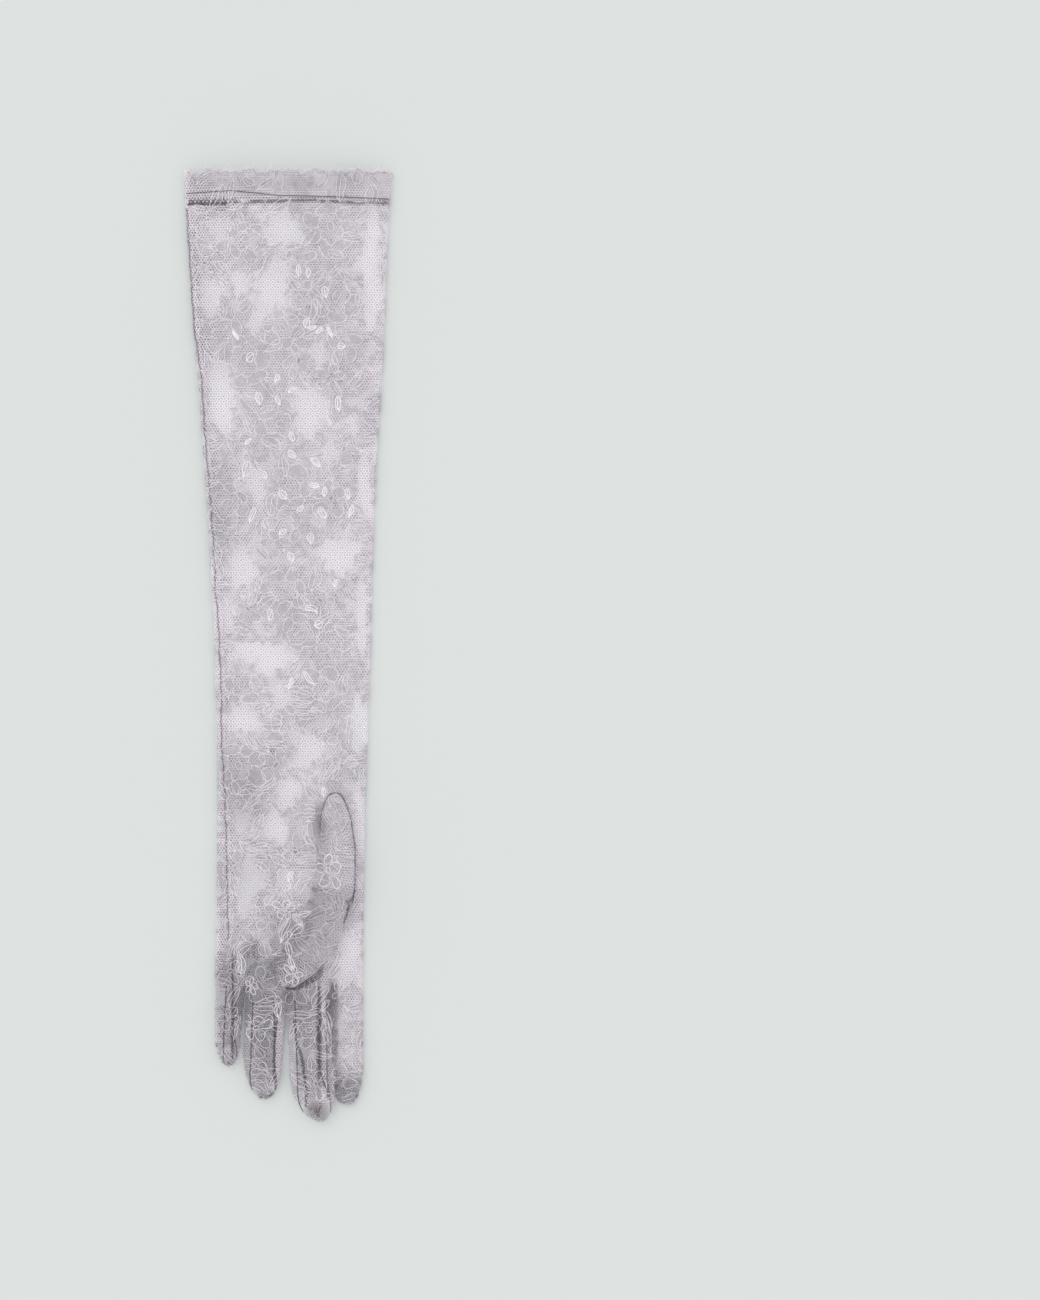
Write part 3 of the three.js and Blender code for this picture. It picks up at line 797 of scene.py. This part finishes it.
# %% A whole sheet of lace
def lace(bounds, inside, kinds, height, up=True, share=None, pitch=PITCH, ring=RING, warp=None,
         turned=False):
    """A sheet of lace in millimetres: cut to inside, charted by kinds, lifted to height."""
    bm = honeycomb(*bounds, pitch, turned)
    trimmed(bm, inside, share)
    centres = np.array([f.calc_center_median()[:2] for f in bm.faces])
    middle = warp(*centres.T) if warp else centres.T
    opened(bm, kinds(*middle), {kind: width * pitch for kind, width in ring.items()})
    place = np.array([v.co[:2] for v in bm.verts])
    x, y = warp(*place.T) if warp else place.T
    for v, point in zip(bm.verts, np.stack([x, y, height(*place.T)], 1)):
        v.co = point
    if not up:
        bmesh.ops.reverse_faces(bm, faces=bm.faces[:])
    mesh = bpy.data.meshes.new("sheet")
    bm.to_mesh(mesh)
    bm.free()
    return mesh


def sewn(name, meshes, node, materials=LACE, depth=None):
    """Sheets of lace sewn into one piece. Its area is that of its threads, as it is full of holes."""
    bm = bmesh.new()
    for mesh in meshes:
        bm.from_mesh(mesh)
        bpy.data.meshes.remove(mesh)
    area = sum(f.calc_area() for f in bm.faces) * MM * MM
    joined = bpy.data.meshes.new(name)
    bm.to_mesh(joined)
    bm.free()
    obj = finished(name, joined, materials, node, depth)
    return obj


# %% A set of cords
def cords(name, lines, radius, material, node, depth=None):
    """Round cords along lines of points, as one mesh."""
    curve = bpy.data.curves.new(name, "CURVE")
    curve.dimensions = "3D"
    curve.bevel_depth = radius
    curve.bevel_resolution = 0
    for line in lines:
        spline = curve.splines.new("POLY")
        spline.points.add(len(line) - 1)
        spline.points.foreach_set("co", np.column_stack([line, np.ones(len(line))]).ravel())
    scratch = in_scene(name + "_path", curve)
    bpy.context.view_layer.update()
    mesh = bpy.data.meshes.new_from_object(scratch.evaluated_get(bpy.context.evaluated_depsgraph_get()))
    bpy.data.objects.remove(scratch)
    mesh.name = name
    mesh.materials.clear()
    return finished(name, mesh, [material], node, depth)


def lifted(lines, keep, height):
    """Cuts flat lines where keep fails, and lifts what is left to height."""
    out = []
    for line in lines:
        good, z = keep(*line.T), height(*line.T)
        start = None
        for k in range(len(line) + 1):
            if k < len(line) and good[k]:
                start = k if start is None else start
            elif start is not None:
                if k - start > 1:
                    out.append(np.column_stack([line[start:k], z[start:k]]))
                start = None
    return out


# %% [markdown]
# ## The palm side and the back
# The fingers' facing edges are left out of these sheets: there the strips between the fingers take over.
# The middle finger lies over the near edge of the index finger, so what it hides of the index finger,
# and its own underside there, are sheets of their own. The back's net is turned a quarter against the
# palm's, because two nets lying cell on cell would show stripes that real cloth doesn't have.

# %% The strips' bands
STRIP = 5.2  # width of a strip beside a finger's edge
STRIP_TIP_CLEAR = 13.0  # it ends about this far from the finger's tip
STRIP_TAPER = (-8, 12)  # narrowing over this stretch, counted from there
STRIP_ROOT = (209, 222)  # and over this one at the hand, below the middle
FACING = [(0, "right"), (1, "left"), (1, "right"), (2, "left"), (2, "right"), (3, "left")]


def strip_width(n, y):
    tip = FINGERS[n]["rows"][0, 0]
    taper = slope(y, *(tip + STRIP_TIP_CLEAR + end for end in STRIP_TAPER))
    return STRIP * taper * slope(-y, *STRIP_ROOT)


def in_strip(n, side, x, y):
    left, right, _ = row_at(FINGERS[n]["rows"], y)
    inset = right - x if side == "right" else x - left
    return (inset < strip_width(n, y)) & (y < HAND_END_Y) & (inset > -1)


def outside_strips(n, x, y):
    clear = np.ones(x.shape, bool)
    for k, side in FACING:
        if k == n:
            clear &= ~in_strip(k, side, x, y)
    return clear


def hidden(x, palm_side):
    """The palm side of the index finger, or the back of the middle one, where they overlap."""
    return x < INDEX_SHOWS if palm_side else x > INDEX_BEGINS


def in_side(x, y, palm_side):
    """The palm side or the back, without what the overlap of two fingers hides."""
    inside = in_hand(x, y)
    for n in range(4):
        own = in_finger(n, x, y) & outside_strips(n, x, y)
        if n == (3 if palm_side else 2):
            own &= ~hidden(x, palm_side)
        inside |= own
    return inside


# %% Lay the two sides
NODE = "palm_back_and_sleeve"
CUFF_RANGE = (-67, 67)  # a little wider than the cuff
OVERLAP_RANGE = (18, 32)  # and than the overlap of the middle and the index finger
SPLIT_Y = 19.3  # the sheet is long, so it is made in two parts that meet here, cell on cell
ENDS = {"sleeve": 306.0, "hand": -304.0}
CHARTS = {"palm": (ROSES, PALM_LEAVES), "back": (BACK_ROSES, BACK_LEAVES)}
FLOOR_GAP = 0.12  # the underside lies this far above the table
TUCKED_UNDER = 0.2  # and the hidden sheets this far below the finger's surface
for part in ("sleeve", "hand"):
    for side in ("back", "palm"):
        up = side == "palm"
        row = PITCH * math.sqrt(3) if up else PITCH
        before = 1 if part == "sleeve" else math.ceil((SPLIT_Y - ENDS["hand"]) / row)
        start = SPLIT_Y - row * before
        far = ENDS["sleeve"] if part == "sleeve" else SPLIT_Y + row
        cut = SPLIT_Y + row / 4
        sheets = [lace(
            (*CUFF_RANGE, start, far), lambda x, y: in_side(x, y, up),
            lambda x, y: bared(chart(x, y, *CHARTS[side]), x, y),
            above(up, 0 if up else FLOOR_GAP), up,
            share=lambda x, y: (y >= cut) == (part == "sleeve"), turned=not up)]
        if part == "hand":
            n = 3 if up else 2
            sheets.append(lace(
                (*OVERLAP_RANGE, start, HAND_END_Y + 4),
                lambda x, y: in_finger(n, x, y) & outside_strips(n, x, y) & hidden(x, up),
                lambda x, y: chart(x, y, *CHARTS[side]),
                lambda x, y: finger_z(n, x, y, up) - TUCKED_UNDER, up))
        sewn(f"{side}_lace_{part}", sheets, NODE)


# %% [markdown]
# ## The strips between the fingers
# Each strip is one narrow piece of plain net, folded over the facing edges of two fingers. It shows as a
# paler band between the seam and the edge of the finger. The bands could be cells of the finger's own
# sheet that are left open, but then the net would run on through the seam. So each strip is four bands of
# a net of its own, two on each finger, which follow the same surface.

# %% Strips
def strip_depth(x, y):
    """The strips are single net: pale at the outside of the fingers, darker beside the index."""
    sides = 0.12 * slope(x, 0, 1) + 0.1 * slope(x, 14, 24) + 0.3 * slope(-x, 18, 26)
    # Towards the fingers' roots the strips are darker: painted shade in the folds between the fingers.
    return np.clip(0.42 + sides + 0.45 * slope(y, -244, -222), 0, 1)


for a, b in ((0, 1), (1, 2), (2, 3)):
    sheets = []
    for n, side in ((a, "right"), (b, "left")):
        tip_y = FINGERS[n]["rows"][0, 0]
        left, right = FINGERS[n]["sides"]
        for up in (True, False):
            sheets.append(lace(
                (left - 4, right + 4, tip_y, HAND_END_Y + 2),
                lambda x, y: in_finger(n, x, y) & in_strip(n, side, x, y), even(NET),
                lambda x, y: finger_z(n, x, y, up) + (0 if up else FLOOR_GAP), up,
                ring={NET: 0.14}, pitch=1.7))
    names = FINGERS[a]["name"], FINGERS[b]["name"]
    sewn(f"strip_{names[0]}_{names[1]}", sheets, f"fourchette_{names[0]}_{names[1]}",
         depth=strip_depth)


# %% [markdown]
# ## The thumb
# The thumb is a tube of its own, cut flat and sewn into a hole in the palm. It is folded back, so its
# root lies doubled on the palm, and it is painted darker than its tip, for the doubled lace and as painted
# shade; one side and a patch beside its tip carry painted shade too. Its two sheets are made straight, in a
# frame that runs along the thumb, and then bent with it, so that the net follows the bend as cloth does.

# %% Thumb sheets
def thumb_layers_and_shade(x, y):
    across, _ = on_thumb(x, y)
    shaded_side = 0.3 * slope(-across, 2, 10)
    shade_patch = 0.5 * np.exp(-(((x - 21.0) / 5) ** 2) - ((y + 116) / 12) ** 2)  # painted shade beside the tip
    return np.clip(0.19 + np.maximum(shaded_side, shade_patch) + 0.27 * slope(-y, 149, 155), 0, 1)


thumb_bounds = (-18, 18, -2, THUMB_RUN[-1] + 2)
thumb_sheets = [
    lace(thumb_bounds, in_thumb, lambda x, y: chart(x, y, flowers, PALM_LEAVES),
         lambda across, run: thumb_z(across, run, up), up, warp=thumb_place)
    for up, flowers in ((True, BRIGHT_THUMB_FLOWERS + THUMB_FLOWERS), (False, []))
]
sewn("thumb_lace", thumb_sheets, "thumb", depth=thumb_layers_and_shade)

# %% [markdown]
# ## The cords
# Each petal and leaf is outlined by a cord that stands up from the net and shines a little. A few small
# leaves and flowers are worked with a shinier cord whose lighter colour is a painted glint, and beside the
# thumb's tip five short stitches in the same cord lie one below the other. Bump in the thread's material
# would darken and lighten the net in the same lines, but it would stay flat from the side. So the cords are
# curves with a round section, cut off where the lace ends, lifted to its surface and turned to meshes.

# %% Cords on the palm side and the back
# How far the middle of a cord or a stitch lies above the net, in millimetres
CORD_LIFT, BRIGHT_LIFT, BACK_LIFT, STITCH_LIFT = 0.2, 0.3, 0.35, 0.15
CORDED_SHARE = 0.6  # of the small leaves, the others have no cord
INDEX_CORDS = 33.0  # the index finger's own cords begin here, clear of the middle finger
# Flowers worked with a shinier cord, as the roses, its lighter colour a painted glint
BRIGHT_ROSES = [(-18.9, -241, 8.5, 20, 5), (-22, -215, 5, 0, 5), (-2, -166, 8, 12, 5)]


def cord_lines(roses, leaves):
    flowers = [line for rose in roses for line in rose_lines(rose)]
    return flowers + [line for leaf in leaves for line in leaf_lines(leaf)]


def clear_net(x, y):
    return in_glove(x, y, 0.4) & ~in_window(x, y, 0.86)


def on_palm(x, y):
    return clear_net(x, y) & ~((x > INDEX_SHOWS) & (y < HAND_END_Y - 8) & (x < INDEX_CORDS))


corded = [leaf for leaf in PALM_LEAVES if scatter(leaf[0], leaf[1]) < CORDED_SHARE]
cords("palm_cords", lifted(cord_lines(ROSES, corded), on_palm, above(True, CORD_LIFT)),
      0.24, OUTLINE_CORD, NODE)
# Short stitches beside the thumb's tip
TACKS = dict(left=10.7, right=17.4, top=-100.5, step=2.6, count=5)
tacks = [
    np.array([(TACKS["left"], y), ((TACKS["left"] + TACKS["right"]) / 2, y + 0.6), (TACKS["right"], y)])
    for y in TACKS["top"] - TACKS["step"] * np.arange(TACKS["count"])
]
hand_leaves = [leaf for leaf in BRIGHT_LEAVES if leaf[1] <= WRIST_Y]
hand_lines = cord_lines(BRIGHT_ROSES, hand_leaves + ROOT_LEAVES) + tacks
cords("palm_bright_cords", lifted(hand_lines, on_palm, above(True, BRIGHT_LIFT)),
      0.22, SHEEN_AND_GLINT_CORD, NODE)
sleeve_leaves = [leaf for leaf in BRIGHT_LEAVES if leaf[1] > WRIST_Y]
cords("sleeve_bright_cords", lifted(cord_lines([], sleeve_leaves), clear_net, above(True, BRIGHT_LIFT)),
      0.3, SHEEN_AND_GLINT_CORD, NODE)
cords("back_cords",
      lifted(cord_lines(BACK_ROSES, BACK_LEAVES), clear_net, above(False, BACK_LIFT)),
      0.2, OUTLINE_CORD, NODE)

# %% Cords on the thumb
def on_top_of_thumb(x, y):
    return in_thumb(*on_thumb(x, y))


def thumb_top(x, y):
    return thumb_z(*on_thumb(x, y), True) + CORD_LIFT


cords("thumb_cords", lifted(cord_lines(THUMB_FLOWERS, PALM_LEAVES), on_top_of_thumb, thumb_top),
      0.16, OUTLINE_CORD, "thumb", depth=thumb_layers_and_shade)
bright_lines = cord_lines(BRIGHT_THUMB_FLOWERS, ROOT_LEAVES)
cords("thumb_bright_cords", lifted(bright_lines, on_top_of_thumb, thumb_top),
      0.26, SHEEN_AND_GLINT_CORD, "thumb", depth=thumb_layers_and_shade)


# %% [markdown]
# ## Hem, seams and edge
# The cuff is turned in and sewn down closely, which doubles the net into a dark dotted band that breaks
# off twice. The raw lace edge above it has a cord along its scallops and short eyelash threads. The seams
# are overlocked: a straight run with a zigzag over it. They wander a little, as sewn lines do, and pucker
# in dark lines along the fingers. The thumb's seam goes round its tip, hooks at the ball in a small tuck,
# and ends in a roll at the root, with one row of thread on it; three rows of dark thread beside it on the
# palm are painted shadow of the root's edge. A thread drawn on the net as colour would have no height,
# so each stitch line is a thin round cord lying on the lace.

# %% Hem band
FOLD_LINE = np.array([(-64.5, 284.3), (-35, 285.6), (-21, 284.3), (-5, 282.5), (33, 281.8), (64, 280.6)])
FACING_LOW = 281.4
FACING_TOP = 296.0
HEM_MARGIN = 1.2  # the hem stops this far from the sleeve's folded edges
# The close stitching below the fold line: x, lower edge, upper edge. It breaks off twice.
BAND = np.array([
    (-62.5, 276.6, 281), (-32, 276.9, 280.9), (-31, 279, 279), (-28.5, 277.5, 277.5),
    (-27, 276.6, 278.6), (-21, 277.8, 279.9), (4, 278.7, 280.5), (17, 279.1, 280.6),
    (22, 277.8, 279.9), (36, 277.2, 279.5), (43, 276.6, 279), (44.5, 277.8, 277.8),
    (51.5, 278.6, 278.6), (53, 277.4, 280), (63, 276.6, 279.4),
])


def between_edges(x, y):
    left, right, _ = row_at(BODY, y)
    return (x > left + HEM_MARGIN) & (x < right - HEM_MARGIN)


def in_band(x, y):
    low, high = (np.interp(x, BAND[:, 0], BAND[:, k]) for k in (1, 2))
    return (y > low) & (y < high) & between_edges(x, y)


def in_facing(x, y):
    return (y > FACING_LOW) & (y < FACING_TOP) & between_edges(x, y)


def hem_depth(x, y):
    dark = 0.35 + 0.65 * slope(-y, -280.4, -278.0) * slope(-x, 20, 40) + 0.2 * np.sin(0.9 * x)
    return np.where(y < FACING_LOW, np.clip(dark, 0, 1), 0.4 + 0.15 * np.sin(0.2 * x))


def facing_cells(x, y):
    worked = chart(x * 1.1 + 7, y * 1.1 - 9, BACK_ROSES, BACK_LEAVES)
    return np.maximum(worked, np.where(scatter(y, x) < 0.6, HALF, NET))


# %% Lay the hem
STITCHED = 3  # the class of the cells in the band
INSIDE = 0.9  # the turned-in lace lies this far inside the sleeve
BAND_LIFT = {True: 0.3, False: 0.03}  # and the band this far above its palm side and its underside
hem_bounds = (-66, 66, BAND[0, 1] - 2, FACING_TOP + 2)
hem_sheets = []
for up in (True, False):
    hem_sheets.append(lace(hem_bounds, in_facing, facing_cells, above(up, -INSIDE if up else INSIDE), up))
    hem_sheets.append(lace(hem_bounds, in_band, even(STITCHED), above(up, BAND_LIFT[up]), up,
                           share=lambda x, y: scatter(x, y) > 0.45 * slope(x, -30, 40),
                           pitch=2.6, ring={STITCHED: 0.25}))
sewn("hem_lace", hem_sheets, "cuff_hem", LACE + [SEAM_THREAD],
     hem_depth)


# %% Stitches
def zigzag(path, pitch, width):
    """A zigzag along a line of plan points, with its corners width apart."""
    steps = runs_along(path)
    runs = np.arange(0, steps[-1], pitch / 2)
    x, y = (np.interp(runs, steps, path[:, k]) for k in (0, 1))
    dx, dy = np.gradient(x), np.gradient(y)
    size = np.maximum(np.hypot(dx, dy), 1e-6)
    side = np.where(np.arange(len(runs)) % 2, 1, -1) * width / 2
    return np.stack([x - dy / size * side, y + dx / size * side], 1)


def resampled(path, pitch):
    steps = runs_along(path)
    runs = np.linspace(0, steps[-1], max(2, int(steps[-1] / pitch)))
    return np.stack([np.interp(runs, steps, path[:, k]) for k in (0, 1)], 1)


def both_ways(path, pitch, width, straight=None):
    """A line of overlock stitches: a zigzag, and the straight run under it."""
    return [zigzag(path, pitch, width), path if straight is None else resampled(path, straight)]


across = np.linspace(-63.6, 63.6, 120)
fold = np.stack([across, np.interp(across, *FOLD_LINE.T)], 1)
band_middle = np.stack([across, np.interp(across, BAND[:, 0], BAND[:, 1:].mean(1))], 1)
loose = band_middle[band_middle[:, 0] > BAND[2, 0]]
hem_lines = [zigzag(loose, 1.5, 1.6), fold, zigzag(fold, 1.6, 0.7)]
for up, radius in ((True, 0.2), (False, 0.16)):
    cords("hem_stitches_" + ("palm" if up else "back"),
          lifted(hem_lines, even(True), above(up, CORD_LIFT if up else 0.5)),
          radius, SEAM_THREAD, "cuff_hem", depth=even(0.6))

# %% Side seam and its allowance
def wandering(path):
    """A sewn line is never quite straight."""
    fine = resampled(path, 1.2)
    fine[:, 0] += 0.25 * np.sin(0.31 * fine[:, 1]) + 0.22 * np.sin(0.83 * fine[:, 1] + 1)
    return fine


SEAM_LOW, SEAM_TOP = -186, 276  # the side seam's allowance ends here
ALLOWANCE_SIDES = (-1.2, 2.6)  # its edges, counted from the seam
PLIES = (0.9, 1.5)  # how far its two plies lie below the palm side
PLY_STARTS, PLY_LENGTH = (-188, -34, 120), 154  # each ply is made in three lengths
seam_path = SEAM[::-1][:, ::-1]
seam_path = wandering(seam_path[(seam_path[:, 1] < SEAM_TOP) & (seam_path[:, 1] > SEAM_LOW)])


def in_allowance(x, y):
    seam = np.interp(y, SEAM[:, 0], SEAM[:, 1])
    left, right = (seam + side for side in ALLOWANCE_SIDES)
    return (x > left) & (x < right) & (y < SEAM_TOP) & (y > SEAM_LOW)


allowance = [
    lace((-66, -32, y, min(y + PLY_LENGTH + 1, SEAM_TOP)), in_allowance, even(HALF), above(True, -below),
         pitch=1.6, ring={HALF: 0.19},
         share=lambda x, v: (v >= y) & (v < y + PLY_LENGTH))
    for y in PLY_STARTS
    for below in PLIES
]
sewn("seam_allowance", allowance, "side_seam",
     depth=even(0.2))
cords("side_seam_stitches", lifted(both_ways(seam_path, 2.3, 1.7), even(True), above(True, STITCH_LIFT)),
      0.19, SEAM_THREAD, "side_seam", depth=even(0.35))


# %% Finger seams
def on_palm_side(flat, lift):
    return np.column_stack([flat, glove_z(*flat.T, True) + lift])


def strip_seam(n, side):
    y = np.linspace(HAND_END_Y - 9, FINGERS[n]["rows"][0, 0] + STRIP_TIP_CLEAR - 7, 40)
    left, right, _ = row_at(FINGERS[n]["rows"], y)
    inset = strip_width(n, y)
    return np.stack([right - inset if side == "right" else left + inset, y], 1)


# Where the seams pucker beside the middle finger's strips, at the little and the ring finger
PUCKERS = [
    [(3.2, -233), (5.7, -248), (10.1, -266), (12.0, -290)],
    [(19.6, -214), (19.8, -240), (19.8, -262), (22.0, -272), (26.0, -284)],
    [(28.0, -212), (28.4, -240), (28.6, -262)],
    [(-34.6, -194), (-34.2, -215), (-34.4, -240), (-34.8, -260)],
    [(-8.6, -222), (-7.8, -250), (-8.6, -274)],
    [(7.6, -252), (10.8, -266), (12.6, -284)],
]
finger_lines = []
for points in PUCKERS:
    path = wandering(np.array(points))
    for flat in both_ways(path, 2.1, 1.7):
        finger_lines.append(on_palm_side(flat, CORD_LIFT))
for n, side in FACING:
    path = strip_seam(n, side)
    for flat in both_ways(path, 1.4, 1.0, 2.0):
        finger_lines.append(np.column_stack([flat, finger_z(n, *flat.T, True) + STITCH_LIFT]))
outer = SEAM[SEAM[:, 0] < SEAM_LOW][::-1][:, ::-1]
for flat in both_ways(outer, 1.4, 1.0, 2.0):
    finger_lines.append(on_palm_side(flat, STITCH_LIFT))
cords("finger_seam_stitches", finger_lines, 0.2, SEAM_THREAD, NODE,
      depth=lambda x, y: 0.9 - 0.7 * slope(x, 24, 27))

# %% Thumb seam
def thumb_edge(first, last, side, steps=60, reach=0.94):
    runs = np.linspace(first, last, steps)
    return np.stack([side * thumb_row(runs)[3] * reach, runs], 1)


def thumb_seam_line(flat, lift=STITCH_LIFT):
    return np.column_stack([*thumb_place(*flat.T), thumb_z(*flat.T, True) + lift])


THUMB_END = THUMB_RUN[-1]
BALL = 66.0  # where along the thumb its dark seam dies away, at the ball
tip_round = np.concatenate([thumb_edge(22, 0.1, -1, 40), thumb_edge(0.1, BALL, 1, 90)])
thumb_seams = [thumb_seam_line(flat) for flat in both_ways(tip_round, 1.4, 1.2, 1.3)]
# The root's free edge is rolled, with one row of thread on it. The rows beside it on the palm are painted
# shadow: dark thread laid where the root's edge shades the palm.
ROLL = dict(length=28, rows=(0.99,), under=(1.08, 1.17, 1.26))
for reach in ROLL["rows"]:
    root_row = thumb_edge(THUMB_END - ROLL["length"] * reach, THUMB_END - 3, 1, 34, reach)
    thumb_seams.append(thumb_seam_line(root_row, 0.1))
for reach in ROLL["under"]:
    root_row = thumb_edge(THUMB_END - ROLL["length"] / reach, THUMB_END - 1.5, 1, 30, reach)
    thumb_seams.append(on_palm_side(np.column_stack(thumb_place(*root_row.T)), 0.25))
cords("thumb_root_seam", [thumb_seam_line(thumb_edge(BALL, THUMB_END - 3, 1, 40))], 0.18, OUTLINE_CORD,
      "thumb", depth=even(1.0))
# A small tuck hooks the seam at the thumb's ball
TUCK = [
    np.array([(42.6, -153.5), (41.4, -158.4), (38.6, -161.3), (36.5, -159.4)]),
    np.array([(38.8, -160.6), (38.6, -164.4), (37.6, -169.2), (35.4, -174.4)]),
]
for path in TUCK:
    for flat in both_ways(path, 1.2, 1.4, 1.2):
        x, y = flat.T
        z = np.where(on_top_of_thumb(x, y), thumb_top(x, y), glove_z(x, y, True) + 0.3)
        thumb_seams.append(np.column_stack([flat, z]))
# The stitches are drawn tight in places, and darker there. Towards the root they are painted darker still,
# as painted shadow under its edge.
cords("thumb_seam_and_shadow_stitches", thumb_seams, 0.27, SEAM_THREAD, "thumb",
      depth=lambda x, y: np.clip(0.4 + 0.3 * np.sin(0.55 * y + 0.3 * x) + 0.5 * slope(-y, 150, 190), 0, 1))

# %% Cord along the scallops of the raw edge
SCALLOPS = dict(start=-60, width=23.0, depth=2.2, inset=2.6)
rim_x = np.linspace(-63.5, 63.5, 160)
bows = np.abs(np.sin(math.pi * (rim_x - SCALLOPS["start"]) / SCALLOPS["width"])) ** 0.6
rim_y = cuff_edge(rim_x) - SCALLOPS["inset"] + SCALLOPS["depth"] * bows
rims = [
    np.column_stack([rim_x, rim_y, above(up, CORD_LIFT if up else BRIGHT_LIFT)(rim_x, rim_y)])
    for up in (True, False)
]
cords("cuff_scallop_cord", rims, 0.18, OUTLINE_CORD, NODE, depth=even(1.0))

# %% Eyelash threads on the raw edge
chance = random.Random(21)
lashes = []
for up in (True, False):
    for x in np.arange(-64.0, 64.5, 1.15):
        rise = chance.uniform(0.4, 2.2)
        bend = chance.uniform(-0.4, 0.4)
        lean = chance.uniform(-0.9, 0.9)
        line = np.array([(x, -0.8), (x + bend, rise / 2), (x + lean, rise)])
        line[:, 1] += cuff_edge(line[:1, 0])
        lashes.append(np.column_stack([line, above(up, 0 if up else 0.2)(*line.T)]))
cords("eyelash_threads", lashes, 0.13, NET_THREAD, NODE)

# %% [markdown]
# ## Floor, light and camera
# The photo is taken from straight above in soft, even light, so there is almost no shadow. A lamp close to
# the table would light one end of a glove this long more than the other, so the light is a bright sky and
# a wide, distant softbox. The camera looks down from far off on the middle of a picture in which the glove
# lies to the left.

# %% Floor
PX = 0.63  # millimetres in one pixel of the photo
GLOVE_PX = (288.0, 645.5)  # where the middle of the glove lies in it
FRAME_PX = (1040, 1300)  # its width and height
aim = Vector(((FRAME_PX[0] / 2 - GLOVE_PX[0]) * PX * MM, (GLOVE_PX[1] - FRAME_PX[1] / 2) * PX * MM, 0))

bm = bmesh.new()
bmesh.ops.create_grid(bm, x_segments=1, y_segments=1, size=3.0)
floor_mesh = bpy.data.meshes.new("floor")
bm.to_mesh(floor_mesh)
bm.free()
floor = in_scene("floor", floor_mesh)
floor_material = bpy.data.materials.new("pale_table")
floor_material.use_nodes = True
floor_shader = floor_material.node_tree.nodes["Principled BSDF"]
floor_shader.inputs["Base Color"].default_value = linear(193, 197, 196)
floor_shader.inputs["Roughness"].default_value = 0.9
floor_shader.inputs["Specular IOR Level"].default_value = 0.0
floor_mesh.materials.append(floor_material)

# %% Light
scene = bpy.context.scene
scene.view_settings.view_transform = "Standard"
world = bpy.data.worlds.new("studio")
world.use_nodes = True
world.node_tree.nodes["Background"].inputs["Color"].default_value = (1, 1, 1, 1)
world.node_tree.nodes["Background"].inputs["Strength"].default_value = 1.168
scene.world = world
# A large softbox far off, so that its light is even over the whole table.
lamp = bpy.data.lights.new("softbox", "SUN")
lamp.energy = 0.8
lamp.angle = math.radians(50)
softbox = in_scene("softbox", lamp)
softbox.rotation_euler = Vector((0.5, -0.6, -1.0)).to_track_quat("-Z", "Y").to_euler()

# %% Camera
HEIGHT = 3.0  # of the camera above the table, in metres
camera = bpy.data.cameras.new("camera")
camera.sensor_fit = "VERTICAL"
camera.angle = 2 * math.atan(FRAME_PX[1] * PX * MM / 2 / HEIGHT)
camera.clip_end = 20
eye = in_scene("camera", camera)
eye.location = aim + Vector((0, 0, HEIGHT))
scene.camera = eye
print(f"the camera looks down from {HEIGHT} m on a picture {FRAME_PX[0] * PX:.0f} mm wide")
